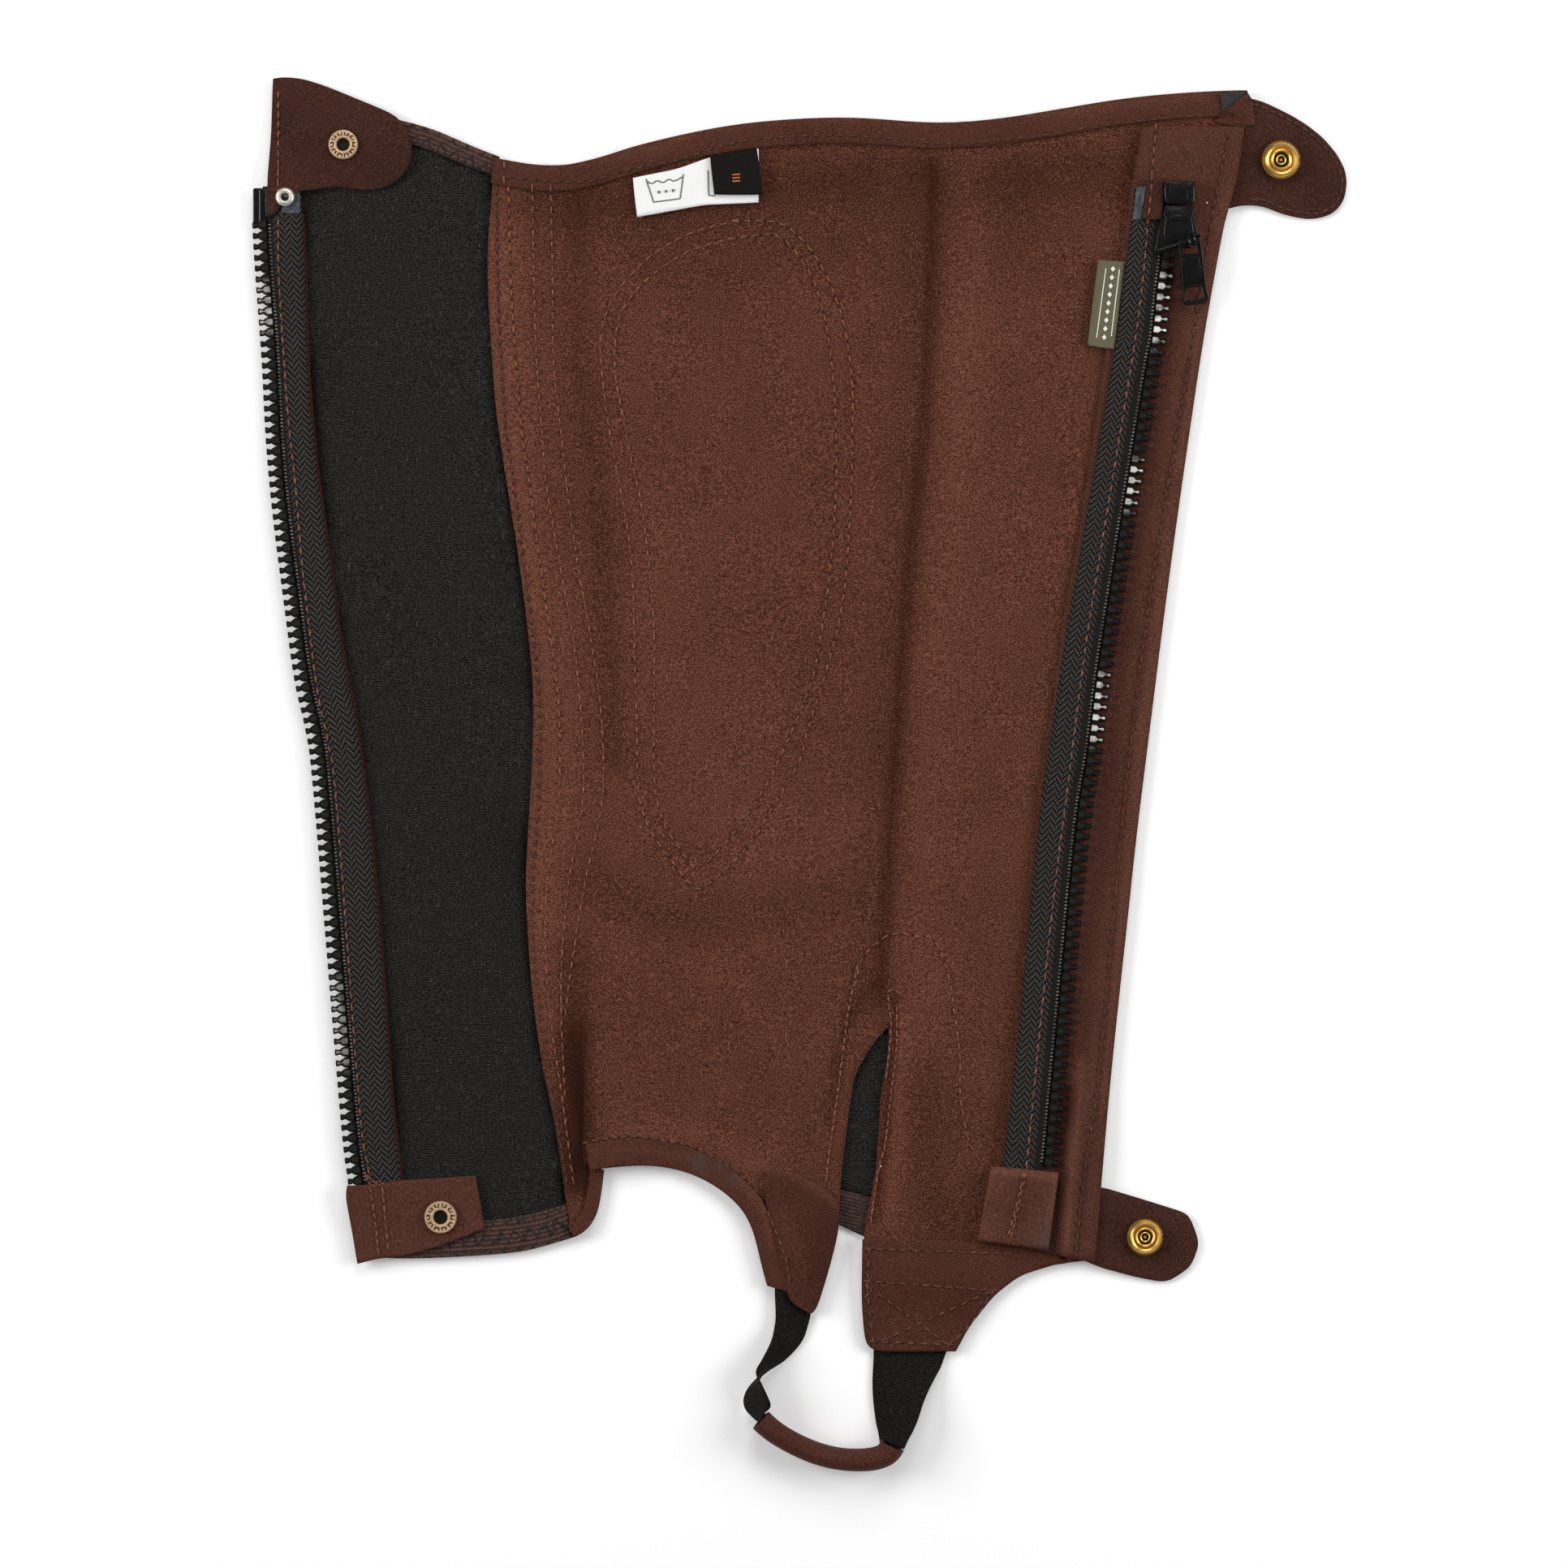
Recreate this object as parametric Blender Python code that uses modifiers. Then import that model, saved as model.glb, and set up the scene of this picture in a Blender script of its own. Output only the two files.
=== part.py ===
# One riding half chap, opened out and laid flat with its inner side up.
# The shell is drawn in millimetres about the middle of its outline, and built in metres.
# Height is measured up from the surface that it lies on.

import math

import bmesh
import bpy
import numpy as np
from mathutils import Vector
from mathutils.bvhtree import BVHTree
from mathutils.geometry import delaunay_2d_cdt

# Driving sizes, in millimetres
MM = 0.001
SEAM_GAP = 0.42
BINDING_GAP = 0.55
SUEDE = 1.2
ELASTIC = 1.2
TAPE = 1.0
BINDING = 1.0
LABEL = 1.0
EDGE_LIFT = BINDING + BINDING_GAP + 0.1
TUCK_RADIUS = 0.95
TUCK_RIGHT_X = -72.6
TUCK_LEFT_X = -79.7
TUCK_SPREAD = 34.0
TUCK_PLUMPNESS = 0.3
CALF_SWELL = 1.3
BINDING_REACH_Z = 2.0
LOBE_LIFT = 0.4
RIDGE_HEIGHT = 2.6
RIDGE_OFFSET = 16.0
RIDGE_HALF_WIDTH = 12.0
SLIT_START = 0.76
CHAIN_WIDTH = 4.3
CHAIN_CLEARANCE = 0.6
CHAIN_HEIGHT = 3.2
LEFT_CHAIN_BASE = 1.8
STRAP_THICKNESS = 1.2
SLEEVE_HALF_HEIGHT = 8.2
SLEEVE_CENTRE_Z = 8.5
SLEEVE_WALL = 1.2
CELL = 6.0

# Slider and pull
SLIDER_HEIGHT = 5.2
BRIDGE_RADIUS = 2.05
BRIDGE_WIRE = 0.55
BRIDGE_CLEARANCE = 2.0
PULL_THICKNESS = 1.6
PULL_HINGE = (143.1, 195.6)
PULL_LEAN = math.radians(7.4)
PULL_DROOP = math.radians(14)
ZIP_LEAN = math.radians(-8.3)

# Outline of the shell. Each row is x, y in millimetres.
TOP_EDGE = [
    (-112.5, 227.0), (-100.5, 224.9), (-91.5, 224.3), (-82.5, 224.9), (-73.5, 227.0),
    (-64.5, 230.3), (-55.5, 232.7), (-37.5, 236.9), (-19.5, 239.9), (-1.5, 241.4),
    (12.0, 242.0), (25.5, 241.7), (43.5, 240.2), (52.5, 239.9), (61.5, 240.2),
    (79.5, 242.3), (97.5, 245.3), (115.5, 248.3), (133.5, 250.4), (151.5, 251.6),
    (165.6, 252.2),
]
PANEL_LEFT = [
    (-112.5, 225.7), (-112.8, 218.9), (-115.2, 186.8), (-113.7, 162.8), (-111.9, 134.3),
    (-107.7, 107.3), (-103.2, 78.8), (-99.6, 50.0), (-97.8, 30.8), (-98.1, 11.9),
    (-99.3, -14.0), (-101.0, -36.5), (-100.5, -50.9), (-98.4, -79.7), (-94.5, -108.2),
    (-89.7, -131.0), (-85.8, -158.3), (-83.7, -169.4),
]
LOBE_EDGE = [
    (-83.7, -169.4), (-81.0, -168.4), (-78.8, -165.8), (-76.6, -162.4), (-75.0, -157.5),
    (-74.5, -151.6), (-73.6, -146.3),
]
ARCH_EDGE = [
    (-72.6, -144.4), (-64.8, -142.6), (-57.3, -142.3), (-47.4, -143.5),
    (-38.3, -146.0), (-29.3, -150.9), (-20.6, -158.0), (-15.9, -165.8), (-13.9, -173.4),
    (-12.4, -180.6), (-10.4, -188.3),
]
SLIT_UPPER = [
    (49.5, 238.6), (48.3, 182.0), (44.7, 124.7), (39.9, 76.0), (35.7, 16.0),
    (33.3, -44.0), (33.0, -93.2),
]
SLIT_LEFT = [
    (33.0, -93.2), (28.5, -97.1), (24.0, -104.3), (19.8, -111.5), (18.9, -118.1),
    (16.8, -133.4), (15.6, -144.2), (14.7, -152.9), (14.2, -166.4), (11.5, -177.8),
    (8.6, -188.3), (6.9, -194.6),
]
SLIT_RIGHT = [
    (33.0, -93.2), (33.0, -105.8), (30.6, -115.1), (29.7, -129.8), (28.2, -147.8),
    (26.4, -158.0), (24.0, -170.9), (24.3, -195.2), (24.6, -205.0),
]
PANEL_RIGHT = [
    (165.2, 250.9), (163.2, 238.7), (160.5, 219.2), (156.0, 204.8), (154.5, 196.1),
    (148.2, 160.0), (142.8, 124.0), (137.7, 88.0), (132.9, 52.0), (128.4, 16.0),
    (123.9, -20.0), (120.0, -56.0), (116.1, -92.0), (112.5, -128.0), (110.4, -152.3),
    (108.0, -179.4),
]
HEEL_EDGE = [
    (24.6, -205.0), (59.0, -207.0), (64.5, -201.0), (71.7, -192.2), (81.6, -184.7),
    (94.5, -180.8), (108.0, -179.4),
]

# Left side: stretch panel and zip tape
STRETCH_TOP = [
    (-192.0, 251.0), (-176.0, 250.0), (-160.0, 244.5), (-150.0, 240.2), (-136.5, 236.4),
    (-127.5, 232.6), (-118.5, 228.7), (-114.9, 227.0),
]
STRETCH_CORNER = (-114.7, 214.2)
STRETCH_LAP = [
    (-107.0, 213.5), (-109.4, 186.8), (-106.2, 134.3), (-97.6, 78.8), (-92.3, 30.8),
    (-93.9, -14.0), (-96.0, -50.9), (-94.6, -80.0), (-91.0, -108.2), (-86.3, -131.0),
    (-84.3, -145.0), (-84.7, -157.0),
]
STRETCH_BOTTOM = [
    (-86.4, -169.4), (-91.5, -172.3), (-100.5, -174.1), (-109.5, -175.3), (-127.5, -176.5),
    (-145.5, -177.1), (-157.5, -176.6),
]
STRETCH_LEFT = [
    (-158.0, -170.0), (-159.0, -146.3), (-162.3, -122.9), (-170.7, -12.2), (-174.0, 11.9),
    (-177.9, 30.8), (-180.9, 54.8), (-183.6, 79.0), (-186.0, 107.0), (-189.0, 136.0),
    (-191.7, 183.0), (-192.3, 203.0),
]
LEFT_TAPE_OUTER = [
    (-197.7, 216.5), (-197.4, 201.2), (-196.2, 182.0), (-194.1, 153.2), (-192.6, 124.7),
    (-190.2, 97.7), (-186.0, 64.4), (-182.1, 35.6), (-177.9, 16.4), (-174.9, -7.4),
    (-165.3, -122.9), (-162.3, -149.6), (-161.4, -158.0),
]
LEFT_TAPE_INNER = [
    (-184.2, 216.5), (-183.9, 206.9), (-183.0, 186.8), (-181.8, 148.4), (-179.7, 124.7),
    (-177.9, 107.3), (-173.1, 74.0), (-170.1, 50.0), (-164.4, 21.2), (-161.7, 2.3),
    (-159.6, -14.0), (-156.0, -50.0), (-153.0, -89.0), (-150.0, -131.0), (-147.0, -148.7),
    (-146.2, -158.0),
]

# Right side: placket and zip tape
PLACKET_LEFT = [
    (126.6, 238.4), (123.3, 220.1), (122.1, 208.4), (118.5, 188.0), (113.1, 154.4),
    (101.7, 76.1), (98.7, 64.7), (94.5, 30.2), (90.9, -0.5), (87.5, -38.9),
    (81.0, -109.4), (77.0, -143.9), (75.0, -172.5),
]
PLACKET_RIGHT = [
    (163.8, 238.4), (161.1, 219.2), (159.0, 210.2), (156.6, 204.8), (155.1, 196.1),
    (148.8, 160.0), (143.4, 124.0), (138.3, 88.0), (133.5, 52.0), (129.0, 16.0),
    (124.5, -20.0), (120.6, -56.0), (116.7, -92.0), (113.1, -128.0), (111.0, -152.3),
    (108.6, -180.2),
]
RIGHT_TAPE_INNER = [
    (123.6, 215.9), (123.0, 203.9), (120.6, 188.9), (116.7, 156.8), (102.9, 76.0),
    (98.7, 51.5), (94.2, 22.4), (90.3, -4.4), (86.4, -38.9), (84.9, -57.2),
    (79.5, -109.4), (75.3, -143.9), (74.4, -152.0),
]
RIGHT_TAPE_OUTER = [
    (135.9, 215.9), (133.2, 191.3), (131.4, 177.2), (129.6, 159.8), (127.5, 149.0),
    (115.2, 73.1), (109.5, 36.2), (105.9, 7.1), (101.7, -19.7), (95.4, -85.1),
    (89.7, -144.8), (88.8, -152.6),
]

# Tabs, patches and labels, each an outline of x, y going clockwise
TAB_TOP_LEFT = [
    (-194.1, 256.4), (-190.5, 257.0), (-183.9, 256.4), (-176.1, 254.0), (-169.2, 251.3),
    (-159.9, 247.4), (-151.5, 243.8), (-147.6, 241.4), (-144.3, 236.0), (-143.1, 230.9),
    (-143.7, 224.9), (-147.0, 220.4), (-151.5, 217.1), (-157.5, 215.9), (-163.2, 215.9),
    (-167.7, 216.8), (-171.6, 217.1), (-176.1, 216.2), (-186.0, 215.0), (-192.3, 209.3),
    (-193.2, 207.2), (-196.2, 205.4), (-195.9, 218.0), (-194.7, 236.0),
]
TAB_BOTTOM_LEFT = [
    (-166.5, -152.0), (-161.1, -152.0), (-153.0, -151.1), (-147.3, -150.2), (-135.0, -149.6),
    (-119.7, -148.7), (-117.0, -164.9), (-116.4, -167.6), (-123.6, -170.3), (-131.1, -173.3),
    (-146.4, -177.8), (-155.1, -178.4), (-162.9, -180.5), (-164.4, -170.6), (-167.1, -155.6),
]
TAB_TOP_RIGHT = [
    (151.5, 232.6), (166.1, 236.6), (166.1, 249.4), (173.1, 246.8), (181.5, 242.9),
    (187.5, 239.3), (193.2, 234.8), (198.3, 228.8), (201.3, 223.1), (202.0, 218.6),
    (201.0, 212.3), (198.3, 208.1), (194.1, 206.0), (189.0, 205.1), (182.7, 206.0),
    (177.0, 207.5), (171.9, 209.9), (167.7, 210.5), (163.2, 209.9), (157.5, 208.1),
    (148.5, 208.0),
]
TAB_BOTTOM_RIGHT = [
    (99.5, -152.5), (111.0, -152.6), (125.7, -157.1), (143.7, -162.8), (147.6, -173.3),
    (144.3, -182.0), (135.6, -187.7), (124.5, -185.6), (110.5, -181.8), (99.5, -177.0),
]
LEFT_TONGUE = [
    (-12.4, -145.6), (-2.7, -147.2), (7.5, -151.7), (14.4, -156.8), (14.7, -166.4),
    (12.0, -177.8), (9.0, -188.3), (6.0, -197.9), (4.2, -198.8), (-2.7, -194.6),
    (-3.0, -188.0), (-6.0, -178.5), (-8.0, -167.5), (-11.0, -156.5),
]
RIGHT_TONGUE = [
    (23.4, -172.0), (77.0, -173.4), (96.0, -176.2), (96.0, -180.4), (81.6, -184.7),
    (71.7, -192.2), (62.4, -203.9), (57.6, -212.9), (27.3, -212.9), (24.4, -209.9),
    (23.2, -195.0),
]
GORE = [
    (29.0, -89.0), (38.0, -89.0), (39.0, -110.0), (37.0, -130.0), (34.5, -150.0),
    (33.0, -157.9), (10.0, -152.0), (12.0, -133.0), (14.0, -115.0), (20.0, -101.0),
]
GORE_HEM = [
    (10.0, -152.4), (33.0, -158.3), (30.0, -172.6), (23.4, -170.6), (14.7, -166.3), (9.0, -163.5),
]
ZIP_END_PATCH = [(70.8, -144.8), (95.1, -146.9), (91.5, -175.1), (66.0, -171.8)]
TAPE_TOP_PATCH = [(127.2, 218.6), (134.1, 218.6), (133.2, 204.4), (126.3, 204.4)]
CARE_LABEL = [
    (-61.2, 219.6), (-44.4, 222.9), (-37.2, 225.7), (-32.7, 227.2), (-15.3, 230.4),
    (-15.3, 211.1), (-35.4, 210.2), (-59.7, 205.7),
]
SIZE_LABEL = [(-32.7, 227.2), (-15.9, 230.3), (-13.8, 213.8), (-31.2, 213.8)]
SIDE_LABEL = [(110.4, 189.2), (120.0, 188.6), (115.9, 156.8), (106.5, 158.3)]

# Stirrup strap: the two edges of each elastic, one row for each section.
# Columns: low edge x, y, z, high edge x, y, z
STRAP_LEFT = [
    (5.0, -196.4, 1.8, -7.6, -190.9, 1.8),
    (3.3, -203.0, 1.1, -9.0, -203.0, 4.0),
    (0.9, -209.6, 0.9, -10.5, -209.6, 8.2),
    (-6.0, -216.8, 0.8, -14.1, -216.8, 11.4),
    (-11.9, -220.4, 0.8, -15.8, -220.4, 12.8),
    (-19.2, -227.6, 0.8, -12.6, -227.6, 13.6),
    (-20.4, -233.6, 1.0, -10.6, -232.8, 14.0),
    (-17.0, -237.4, 2.6, -13.3, -235.2, 12.8),
    (-13.9, -239.7, 3.4, -12.6, -238.2, 12.4),
    (-12.0, -241.6, 3.6, -10.6, -240.0, 12.2),
]
STRAP_RIGHT = [
    (27.6, -206.4, 0.8, 56.4, -208.2, 0.8),
    (27.3, -216.8, 0.8, 53.1, -216.8, 1.2),
    (27.0, -224.0, 0.8, 50.7, -224.0, 4.6),
    (27.3, -231.2, 0.8, 48.3, -231.2, 8.6),
    (28.2, -238.4, 0.9, 45.6, -238.4, 12.0),
    (29.2, -244.9, 1.2, 39.4, -247.4, 14.6),
]
# Columns: centre x, y, half width
SLEEVE_PATH = [
    (-14.2, -238.0, 4.4), (-9.9, -241.9, 4.3), (-3.0, -246.1, 4.2), (5.4, -249.9, 4.2),
    (15.0, -252.3, 4.2), (24.9, -252.6, 4.3), (30.6, -251.4, 4.5), (33.4, -249.6, 4.8),
    (34.1, -247.3, 5.0),
]

# Widths of the bindings' legs on the cloth
TOP_LEG = 7.4
ARCH_LEGS = (8.0, 5.0)
LOBE_LEGS = [3.0, 3.2, 3.2, 3.2, 3.2]
STRETCH_TOP_LEG = 7.8
STRETCH_BOTTOM_LEG = 10.6

# Zip end pieces: place of the middle, then width, length, height, cut corner
ZIP_BOX = {"place": (139.9, 214.0), "width": 10.0, "length": 8.4, "height": 4.6, "corner": 1.0}
ZIP_PIN = {"place": (-199.8, 209.6), "width": 3.6, "length": 13.0, "height": 3.0, "corner": 0.6, "base": 1.8}
SLIDER_PLACE = (140.0, 200.4)
SLIDER_OUTLINE = [
    (-4.4, -7.2), (4.2, -7.2), (5.6, -5.0), (6.2, 1.0), (5.9, 4.4), (4.5, 6.4), (4.3, 8.7), (-3.6, 8.7), (-3.9, 6.2),
    (-4.8, 4.6), (-4.9, 0.0),
]

# Snap parts: x, y, outer radius, hole radius, height
SNAPS = {
    "stud_top": (-168.3, 232.1, 5.5, 2.6, 1.9, "antique_brass"),
    "stud_bottom": (-132.3, -163.4, 6.0, 2.7, 1.9, "antique_brass"),
    "socket_top": (177.6, 226.4, 6.9, 2.9, 3.2, "bright_brass"),
    "socket_bottom": (127.5, -170.9, 6.5, 2.9, 3.2, "bright_brass"),
    "rivet": (-189.6, 212.6, 3.45, 1.45, 1.1, "silver"),
}

# Finishes: red, green, blue as shown on screen, roughness, metallic
FINISHES = {
    "suede": (0.345, 0.212, 0.165, 0.92, 0.0),
    "suede_dark": (0.27, 0.165, 0.14, 0.9, 0.0),
    "stretch": (0.135, 0.13, 0.125, 0.85, 0.0),
    "tape": (0.155, 0.145, 0.137, 0.75, 0.0),
    "ribbed": (0.24, 0.14, 0.11, 0.85, 0.0),
    "moulded": (0.05, 0.05, 0.05, 0.3, 0.0),
    "white_label": (0.93, 0.93, 0.92, 0.7, 0.0),
    "black_label": (0.12, 0.115, 0.1, 0.7, 0.0),
    "olive_label": (0.44, 0.42, 0.34, 0.7, 0.0),
    "antique_brass": (0.45, 0.38, 0.27, 0.35, 1.0),
    "bright_brass": (0.78, 0.6, 0.26, 0.25, 1.0),
    "silver": (0.75, 0.73, 0.7, 0.3, 1.0),
}

laid = {}


def smoothstep(value):
    t = np.clip(value, 0.0, 1.0)
    return t * t * (3.0 - 2.0 * t)


# Curves

def spline(points, steps=5):
    """A smooth line through the points."""
    p = np.array(points, float)
    p = np.vstack([2 * p[0] - p[1], p, 2 * p[-1] - p[-2]])
    out = []
    for i in range(1, len(p) - 2):
        for s in range(steps):
            t = s / steps
            out.append(0.5 * (
                2 * p[i] + (p[i + 1] - p[i - 1]) * t
                + (2 * p[i - 1] - 5 * p[i] + 4 * p[i + 1] - p[i + 2]) * t**2
                + (3 * p[i] - p[i - 1] - 3 * p[i + 1] + p[i + 2]) * t**3
            ))
    out.append(p[-2])
    return np.array(out)


def along(points, fractions):
    """Places on a line, by their share of its length."""
    steps = np.linalg.norm(np.diff(points, axis=0), axis=1)
    run = np.concatenate([[0.0], np.cumsum(steps)]) / steps.sum()
    return np.stack([np.interp(fractions, run, points[:, k]) for k in range(points.shape[1])], axis=1)


def rail(table, fractions):
    return along(spline(table), fractions)


def two_part_rail(upper, lower, fractions, split):
    """A line in two stretches that meet at the fraction called split."""
    f = np.asarray(fractions)
    first = rail(upper, f[f <= split] / split)
    second = rail(lower, (f[f > split] - split) / (1 - split))
    return np.vstack([first, second])


def coons(top, bottom, left, right, rows, columns):
    """A grid of x, y between four edges. Rows go down and columns go right."""
    v = np.asarray(rows)[:, None, None]
    u = np.asarray(columns)[None, :, None]
    ruled_down = (1 - v) * top[None] + v * bottom[None]
    ruled_across = (1 - u) * left[:, None] + u * right[:, None]
    corners = (
        (1 - u) * (1 - v) * top[0] + u * (1 - v) * top[-1]
        + (1 - u) * v * bottom[0] + u * v * bottom[-1]
    )
    return ruled_down + ruled_across - corners


# Meshes

def finish(name):
    red, green, blue, roughness, metallic = FINISHES[name]
    material = bpy.data.materials.new(name)
    material.use_nodes = True
    shader = material.node_tree.nodes["Principled BSDF"]
    linear = [c / 12.92 if c <= 0.04045 else ((c + 0.055) / 1.055) ** 2.4 for c in (red, green, blue)]
    shader.inputs["Base Color"].default_value = (*linear, 1.0)
    shader.inputs["Roughness"].default_value = roughness
    shader.inputs["Metallic"].default_value = metallic
    return material


def add_body(name, points, faces, finish_name):
    """A closed body from points in millimetres."""
    mesh = bpy.data.meshes.new(name)
    mesh.from_pydata([tuple(c * MM for c in p) for p in points], [], faces)
    tool = bmesh.new()
    tool.from_mesh(mesh)
    bmesh.ops.recalc_face_normals(tool, faces=tool.faces[:])
    tool.to_mesh(mesh)
    tool.free()
    mesh.shade_smooth()
    mesh.set_sharp_from_angle(angle=math.radians(40))
    body = bpy.data.objects.new(name, mesh)
    body.data.materials.append(finish(finish_name))
    parts.objects.link(body)
    return body


def wall(name, top, bottom, triangles, finish_name):
    """A cloth wall: a top and a bottom surface over the same triangles, closed by a rim."""
    count = len(top)
    faces = [tuple(t) for t in triangles]
    faces += [tuple(i + count for i in reversed(t)) for t in triangles]
    edges = {(t[k], t[(k + 1) % 3]) for t in triangles for k in range(3)}
    faces += [(b, a, a + count, b + count) for a, b in edges if (b, a) not in edges]
    laid[name] = BVHTree.FromPolygons([tuple(p) for p in top], [tuple(t) for t in triangles])
    return add_body(name, np.vstack([top, bottom]), faces, finish_name)


def grid_triangles(patches):
    """Points and triangles of grids that share the points they have in common."""
    number, points, triangles = {}, [], []
    for patch in patches:
        ids = np.zeros(patch.shape[:2], int)
        for i in range(patch.shape[0]):
            for j in range(patch.shape[1]):
                key = tuple(np.round(patch[i, j], 4))
                if key not in number:
                    number[key] = len(points)
                    points.append(patch[i, j])
                ids[i, j] = number[key]
        for i in range(patch.shape[0] - 1):
            for j in range(patch.shape[1] - 1):
                a, b, c, d = ids[i, j], ids[i + 1, j], ids[i + 1, j + 1], ids[i, j + 1]
                triangles += [(int(a), int(b), int(c)), (int(a), int(c), int(d))]
    return np.array(points), triangles


# Laying one piece on others

def height_at(x, y, under):
    best = -1.0
    for name in under:
        hit = laid[name].ray_cast(Vector((x, y, 100.0)), Vector((0.0, 0.0, -1.0)))[0]
        if hit is not None:
            best = max(best, hit.z)
    return best


def highest_near(x, y, under, reach):
    """The highest point of the pieces below, within a reach of this place."""
    best = height_at(x, y, under)
    for ring in (0.35, 0.7, 1.0):
        for k in range(8):
            turn = math.pi / 4 * k
            best = max(best, height_at(x + ring * reach * math.cos(turn), y + ring * reach * math.sin(turn), under))
    return best


def lay(name, flat, triangles, thickness, under, finish_name, reach, base=0.0, passes=10):
    """A flat piece laid on the pieces under it: each point rests just above them."""
    need = np.array([max(base, highest_near(x, y, under, reach) + SEAM_GAP) for x, y in flat])
    near = [set() for _ in flat]
    for t in triangles:
        for k in range(3):
            near[t[k]] |= {t[(k + 1) % 3], t[(k + 2) % 3]}
    height = need.copy()
    for _ in range(passes):
        mean = np.array([height[list(n)].mean() if n else height[i] for i, n in enumerate(near)])
        height = np.maximum(need, 0.5 * height + 0.5 * mean)
    bottom = np.column_stack([flat, height])
    top = bottom + (0.0, 0.0, thickness)
    return wall(name, top, bottom, triangles, finish_name)


def lay_outline(name, outline, thickness, under, finish_name, cell=CELL, base=0.0):
    """An outline, filled with triangles about one cell wide, and laid."""
    corners = [Vector(p) for p in outline]
    edge = []
    for a, b in zip(corners, corners[1:] + corners[:1]):
        steps = max(1, math.ceil((b - a).length / cell))
        edge += [a.lerp(b, s / steps) for s in range(steps)]
    box = np.array([p[:] for p in edge])
    low, high = box.min(0), box.max(0)
    inside = []
    for x in np.arange(low[0] + cell / 2, high[0], cell):
        for y in np.arange(low[1] + cell / 2, high[1], cell * 0.87):
            if within(x, y, box) and min(math.dist((x, y), p) for p in box) > cell * 0.45:
                inside.append(Vector((x, y)))
    ring = list(range(len(edge)))
    found = delaunay_2d_cdt(edge + inside, [], [ring], 1, 1e-5)
    flat = np.array([p[:] for p in found[0]])
    triangles = []
    for face in found[2]:
        a, b, c = (flat[i] for i in face)
        turn = (b[0] - a[0]) * (c[1] - a[1]) - (b[1] - a[1]) * (c[0] - a[0])
        if abs(turn) > 1e-4:
            triangles.append(tuple(face) if turn > 0 else tuple(reversed(face)))
    return lay(name, flat, triangles, thickness, under, finish_name, cell * 1.15, base)


def within(x, y, outline):
    """Whether a place is inside an outline."""
    inside = False
    for (ax, ay), (bx, by) in zip(outline, np.roll(outline, -1, axis=0)):
        if (ay > y) != (by > y) and x < (bx - ax) * (y - ay) / (by - ay) + ax:
            inside = not inside
    return inside


def lay_strip(name, left, right, length_steps, width_steps, thickness, under, finish_name, base=0.0):
    """A strip between two rails, laid on what is under it."""
    fractions = np.linspace(0, 1, length_steps + 1)
    a, b = rail(left, fractions), rail(right, fractions)
    share = np.linspace(0, 1, width_steps + 1)[None, :, None]
    grid = a[:, None] * (1 - share) + b[:, None] * share
    flat, triangles = grid_triangles([grid])
    reach = float(np.linalg.norm(grid[0, 0] - grid[1, 1])) * 1.5
    return lay(name, flat, triangles, thickness, under, finish_name, reach, base)


def loft(name, rings, finish_name, open_tube=False):
    """Faces between rings of points, closed at both ends."""
    size = len(rings[0])
    points = [p for ring in rings for p in ring]
    faces = []
    for i in range(len(rings) - 1):
        for k in range(size):
            a, b = i * size + k, i * size + (k + 1) % size
            faces.append((a, b, b + size, a + size))
    if open_tube:
        last = (len(rings) - 1) * size
        for k in range(size):
            faces.append((last + k, last + (k + 1) % size, (k + 1) % size, k))
    else:
        faces += [tuple(range(size)), tuple(reversed(range(len(points) - size, len(points))))]
    return add_body(name, points, faces, finish_name)


def edge_binding(name, rim, legs, thickness, panel, finish_name, lower_leg=True):
    """A strip folded round an edge. The rim is x, y, z of the panel's underside at its edge."""
    rim = np.asarray(rim, float)
    run = np.gradient(rim[:, :2], axis=0)
    inward = np.stack([run[:, 1], -run[:, 0]], axis=1)
    inward /= np.linalg.norm(inward, axis=1)[:, None]
    rings = []
    for place, way, leg in zip(rim, inward, legs):
        x, y, z = place
        tip = place[:2] + way * leg
        found = height_at(*tip, [panel]) - thickness
        tip_z = found if abs(found - z) < BINDING_REACH_Z else z
        tip_z = tip_z if lower_leg else max(tip_z, z)
        outer = place[:2] - way * (BINDING_GAP + BINDING)
        close = place[:2] - way * BINDING_GAP
        over, tip_over = z + thickness + BINDING_GAP, tip_z + thickness + BINDING_GAP
        ring = [(*close, over), (*tip, tip_over), (*tip, tip_over + BINDING), (*outer, over + BINDING)]
        if lower_leg:
            under, tip_under = z - BINDING_GAP, tip_z - BINDING_GAP
            ring += [
                (*outer, under - BINDING), (*tip, tip_under - BINDING), (*tip, tip_under), (*close, under),
            ]
        else:
            ring += [(*outer, z), (*close, z)]
        rings.append(ring)
    body = loft(name, rings, finish_name)
    upper = [p for ring in rings for p in (ring[3], ring[2])]
    tops = []
    for i in range(0, len(upper) - 2, 2):
        tops += [(i, i + 1, i + 3), (i, i + 3, i + 2)]
    laid[name] = BVHTree.FromPolygons(upper, tops)
    return body


# The suede shell, with its tuck and its ankle slit

def edge_lift(row):
    """The shell is raised at its top edge by the binding folded under it."""
    return EDGE_LIFT * (1 - smoothstep((row * 400 - 9.6) / 12.0))


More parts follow.
